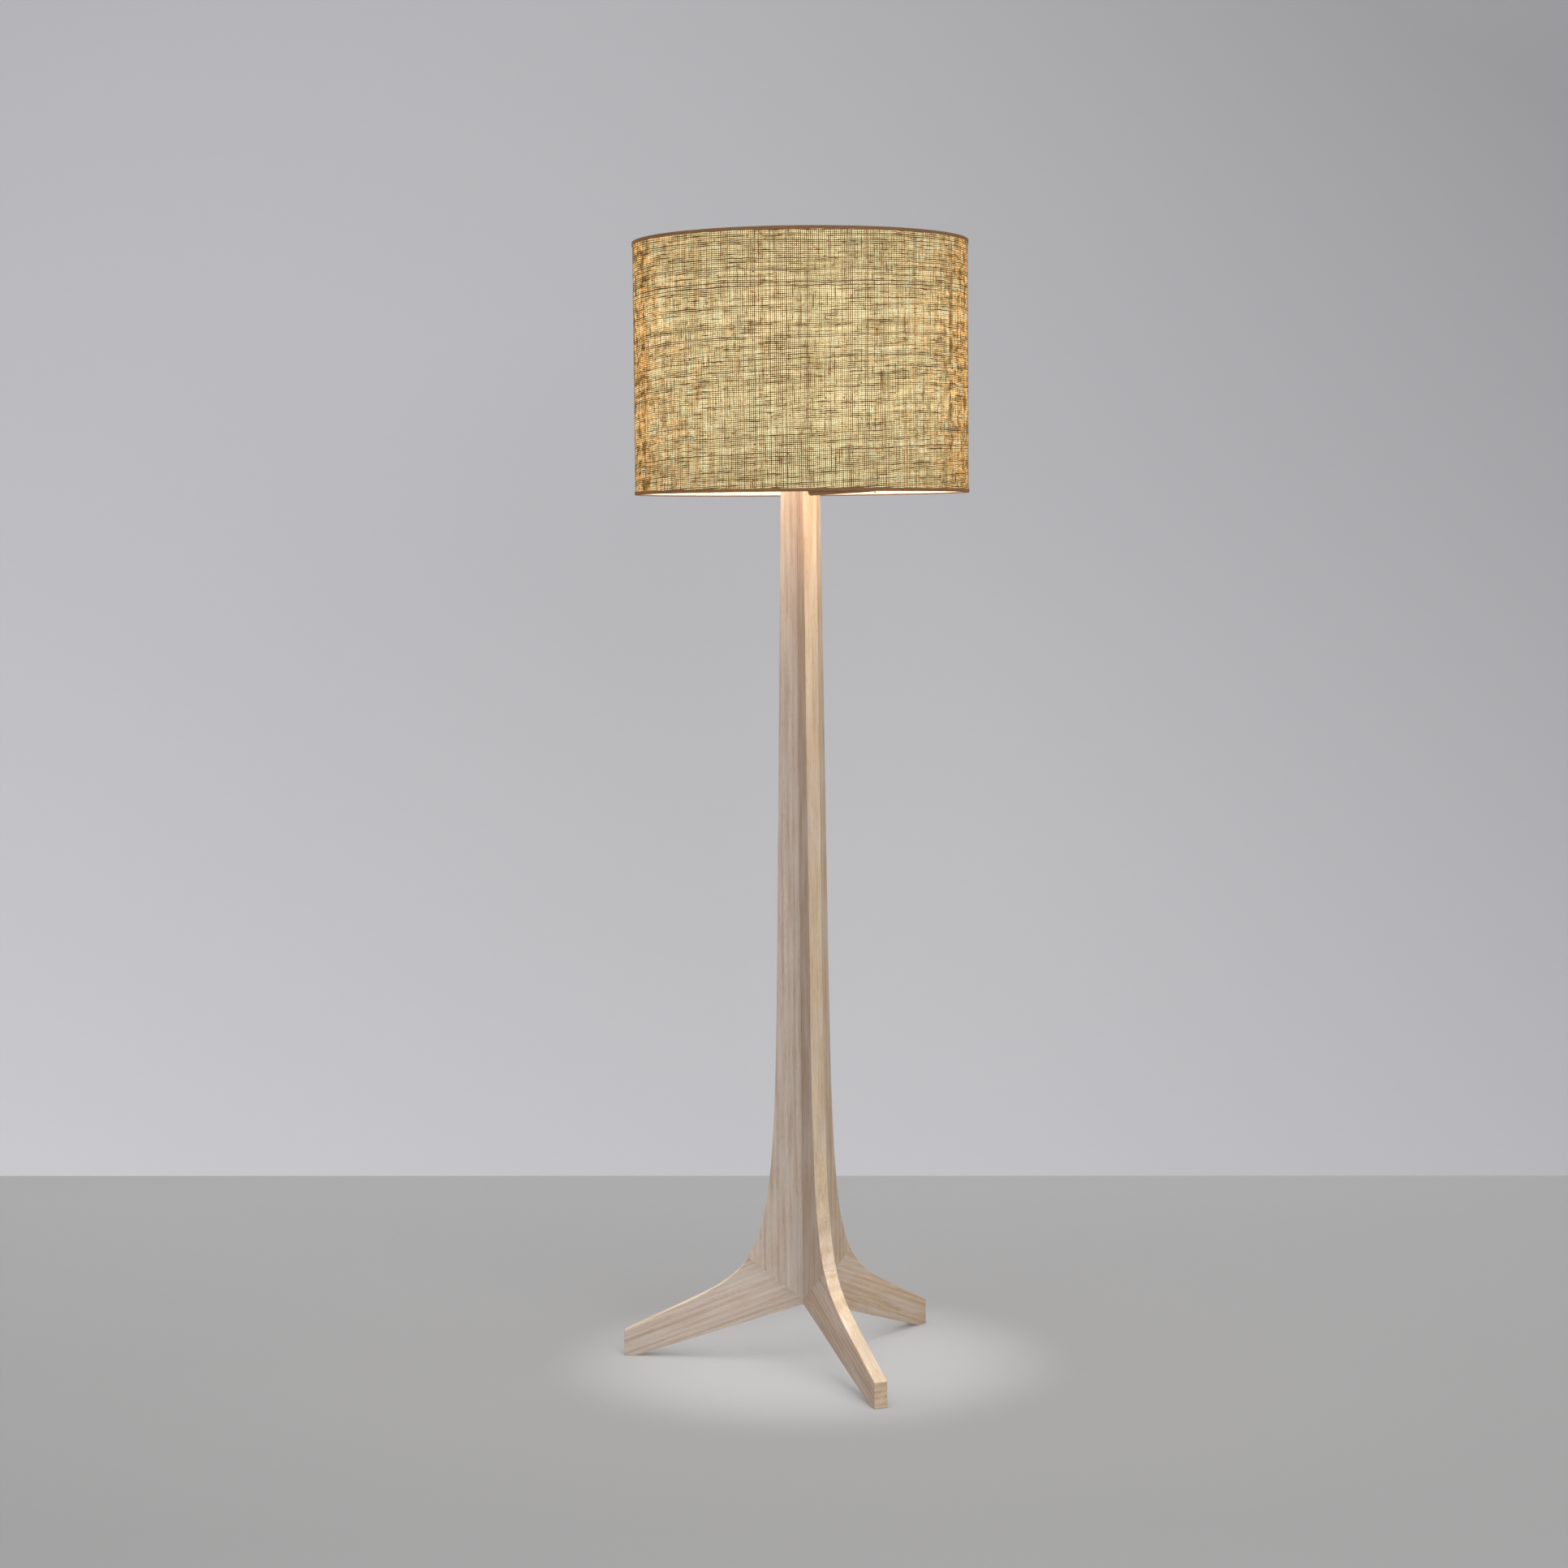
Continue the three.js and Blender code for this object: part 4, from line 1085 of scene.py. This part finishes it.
# %% Seam lap
LAP_WIDTH = 11 * MM
LAP_COLUMNS = 13
LAP_ROWS = 40
verts, faces = [], []
for k in range(LAP_ROWS + 1):
    height = bottom + (top - bottom) * k / LAP_ROWS
    fray = 0.35 * MM * noise.noise(Vector((0, 0, height * 140)))
    for i in range(LAP_COLUMNS):
        share = i / (LAP_COLUMNS - 1)
        turn = SEAM + (LAP_WIDTH * share + fray * share) / radius
        lift = 0.3 * MM if i in (0, LAP_COLUMNS - 1) else 0.75 * MM
        place = AXIS + Vector((cos(turn), sin(turn), 0)) * (radius + lift)
        verts.append((place.x, place.y, height))
for k in range(LAP_ROWS):
    for i in range(LAP_COLUMNS - 1):
        a = k * LAP_COLUMNS + i
        faces.append((a, a + 1, a + LAP_COLUMNS + 1, a + LAP_COLUMNS))
seam_lap = from_points("seam_lap", verts, faces)
shaped(seam_lap, "SOLIDIFY", "cloth thickness", thickness=0.5 * MM, offset=-1)
smooth(seam_lap, 40)
weave_map(seam_lap, lambda turn, spot: (turn * radius / WARP_PITCH, level_count(turn, spot)))
finish(seam_lap, seam_burlap, "shade", "burlap")
print("cloth cut", round(tau * radius + LAP_WIDTH, 3), "by", round(top - bottom, 3), "m")

# %% [markdown]
# The liner stands inside the burlap, as a thin spun tube.

# %% Liner
centre, bottom, top, radius = middle("shade_liner")
SHEET = 0.6 * MM
inner = radius - SHEET
profile = [(inner, bottom), (radius, bottom), (radius, top), (inner, top), (inner, bottom)]
liner = turned("liner_sheet", profile, 240)
finish(liner, lit_liner, "shade", "styrene", "shade_liner")
print("liner", round((top - bottom) / MM), "mm high,", SHEET / MM, "mm thick")

# %% [markdown]
# The rims: a white wire ring top and bottom, and a strip of the same cloth folded over
# each edge. The strip is a spun profile with a soft fold, and its lower edge wanders.

# %% Rings and hems
RING_WIRE = 1.1 * MM
for name, node in (("ring_top", "top_ring"), ("ring_bottom", "bottom_ring")):
    centre, bottom, top, radius = middle(node)
    middle_radius = radius - RING_WIRE
    height = (bottom + top) / 2
    circle = []
    for i in range(11):
        turn = tau * i / 10
        circle.append((middle_radius + RING_WIRE * cos(turn), height + RING_WIRE * sin(turn)))
    finish(turned(name, circle, 200), white_wire, "shade", "steel", node)

HEM = 0.7 * MM
HEM_INSIDE = 1.1 * MM
HEM_OUTSIDE = 5 * MM


def strip_count(turn, spot):
    """The strip is pulled tight, so its yarns are closer than the wall's."""
    return turn * radius / (2.3 * MM), spot.z / (1.7 * MM)


for name, node, inwards in (("hem_upper", "hem_top", -1), ("hem_lower", "hem_bottom", 1)):
    centre, bottom, top, radius = middle(node)
    rim = top if inwards < 0 else bottom
    inner = middle("top_ring")[3] - 2 * RING_WIRE - 0.3 * MM - HEM
    edge = rim + inwards * HEM_OUTSIDE
    inside_edge = rim + inwards * HEM_INSIDE
    fold = rim + inwards * HEM
    corners = [(inner, rim), (radius, rim), (radius, edge), (radius - HEM, edge),
               (radius - HEM, fold), (inner + HEM, fold), (inner + HEM, inside_edge),
               (inner, inside_edge)]
    strip = turned(name, rounded(corners, 0.18 * MM, 2), 720, sharp=60)
    for vertex in strip.data.vertices:
        spot = vertex.co - AXIS
        flat_spot = Vector((spot.x, spot.y, 0))
        off_rim = abs(vertex.co.z - rim) / HEM_OUTSIDE
        vertex.co.z += off_rim * 0.6 * MM * noise.noise(flat_spot * 70)
        vertex.co += flat_spot.normalized() * 0.15 * MM * noise.noise(flat_spot * 150)
    weave_map(strip, strip_count)
    finish(strip, hem_burlap, "shade", "hem_cloth", node)
print("rings of", 2 * RING_WIRE / MM, "mm wire; hems", HEM / MM, "mm thick")

# %% [markdown]
# On the front, one end of the lower strip has come loose from the fold. It hangs a few
# millimetres below the rim, rounded at its free end, and tapers back to where it still
# holds, with a small knot of pale yarn there. The strip was cut 10 mm wide, and what is
# still tucked in the fold is left out. A few fibres have come out of the fold too.

# %% Loose hem end
TAIL_START = radians(-109.2)
TAIL_END = radians(-86.4)
TAIL_DROP = 6.2 * MM
TAIL_COLUMNS = 64
TAIL_ROWS = 6
centre, bottom, top, radius = middle("hem_bottom")
tail_radius = radius - 1.4 * MM
verts, faces = [], []
for i in range(TAIL_COLUMNS + 1):
    share = i / TAIL_COLUMNS
    turn = TAIL_START + (TAIL_END - TAIL_START) * share
    round_end = sqrt(max(0.0, 1 - max(0.0, 1 - share / 0.05) ** 2))
    drop = TAIL_DROP * (1 - share) ** 0.8 * (0.25 + 0.75 * round_end) + 0.3 * MM
    for k in range(TAIL_ROWS + 1):
        down = k / TAIL_ROWS
        curl = 0.5 * MM * noise.noise(Vector((share * 9, down, 0))) + 0.6 * MM * down * (1 - share)
        reach = tail_radius + curl
        height = bottom + 1.2 * MM - (drop + 1.2 * MM) * down
        verts.append((AXIS.x + cos(turn) * reach, AXIS.y + sin(turn) * reach, height))
for i in range(TAIL_COLUMNS):
    for k in range(TAIL_ROWS):
        a = i * (TAIL_ROWS + 1) + k
        faces.append((a, a + 1, a + TAIL_ROWS + 2, a + TAIL_ROWS + 1))
tail = from_points("loose_hem_end", verts, faces)
shaped(tail, "SOLIDIFY", "cloth thickness", thickness=HEM, offset=0)
smooth(tail, 50)
weave_map(tail, strip_count)
finish(tail, hem_burlap, "shade", "hem_cloth")

# %% [markdown]
# The knot is a small lump, and each fibre a thin wire that droops from the rim. They go
# with the loose end.

# %% Knot and fibres
pale_jute, tree, shader = new_material("loose_jute_fibre")
place = add(tree, "TexCoord").outputs["Object"]
patchy = add(tree, "TexNoise", {"Vector": place, "Scale": 600.0, "Detail": 2.0})
straw = add(tree, "Mix", {0: patchy, 6: linear("#b99c70"), 7: linear("#e6d6b4")}, data_type="RGBA")
connect(tree, straw, shader, "Base Color")
shader.inputs["Roughness"].default_value = 0.9
KNOT = 1.7 * MM
knot_ray = Vector((cos(TAIL_END), sin(TAIL_END), 0))
bpy.ops.object.select_all(action="DESELECT")
bpy.ops.mesh.primitive_ico_sphere_add(subdivisions=3, radius=KNOT, location=(0, 0, 0))
knot = bpy.context.object
knot.name = "loose_end_knot"
for vertex in knot.data.vertices:
    vertex.co *= 1 + 0.25 * noise.noise(vertex.co * 700)
knot.location = AXIS + knot_ray * (tail_radius + 0.6 * MM) + Vector((0, 0, bottom - 1.3 * MM))
smooth(knot, 60)
finish(knot, pale_jute, "shade", "burlap")
# Each fibre: where it starts, in degrees, its length and its droop, in millimetres.
FIBRES = ((-151, 17, 3.6), (-149, 22, 2.2), (-146, 14, 3.0), (-144, 26, 1.4), (-88, 12, 2.4))
for number, (angle, length, droop) in enumerate(FIBRES):
    line = []
    for k in range(9):
        share = k / 8
        turn = radians(angle) + length * MM * share / radius
        sag = droop * MM * sin(pi * share) + 0.4 * MM * noise.noise(Vector((number, share * 3, 0)))
        reach = radius - 0.5 * MM
        line.append((AXIS.x + cos(turn) * reach, AXIS.y + sin(turn) * reach, bottom - sag))
    fibre = wire("loose_fibre_" + str(number + 1), line, 0.22 * MM, 2)
    finish(fibre, pale_jute, "shade", "burlap")

# %% [markdown]
# The spider: a hub under the finial, and three arms that run level and then down to the
# top ring.

# %% Spider
centre, bottom, top, radius = middle("spider_hub")
hub = collar("spider_eye", FINIAL_BORE, radius, bottom, top, 0.5 * MM, 64)
finish(hub, white_wire, "shade", "steel", "spider_hub")
ARM_WIRE = 1.5 * MM
hub_radius = radius
level = (bottom + top) / 2
ring_low, ring_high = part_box("top_ring")
ring_z = (ring_low.z + ring_high.z) / 2
ring_reach = (ring_high.x - ring_low.x) / 2 - RING_WIRE
start = hub_radius + 0.6 * MM
bend = start + (ring_reach - start) * 0.86
for side, angle in LEGS.items():
    ray = Vector((cos(radians(angle)), sin(radians(angle)), 0))
    stations = [(start, level), ((start + bend) / 2, level), (bend, level),
                ((bend + ring_reach) / 2, (level + ring_z) / 2 + 2 * MM),
                (ring_reach - 2 * ARM_WIRE, ring_z)]
    line = along([AXIS + ray * r + Vector((0, 0, z)) for r, z in stations], 12)
    arm = wire("arm_" + side, line, ARM_WIRE, 4)
    finish(arm, white_wire, "shade", "steel", "spider_arm_" + side)

print("spider arms", round((ring_reach - start) / MM), "mm long")
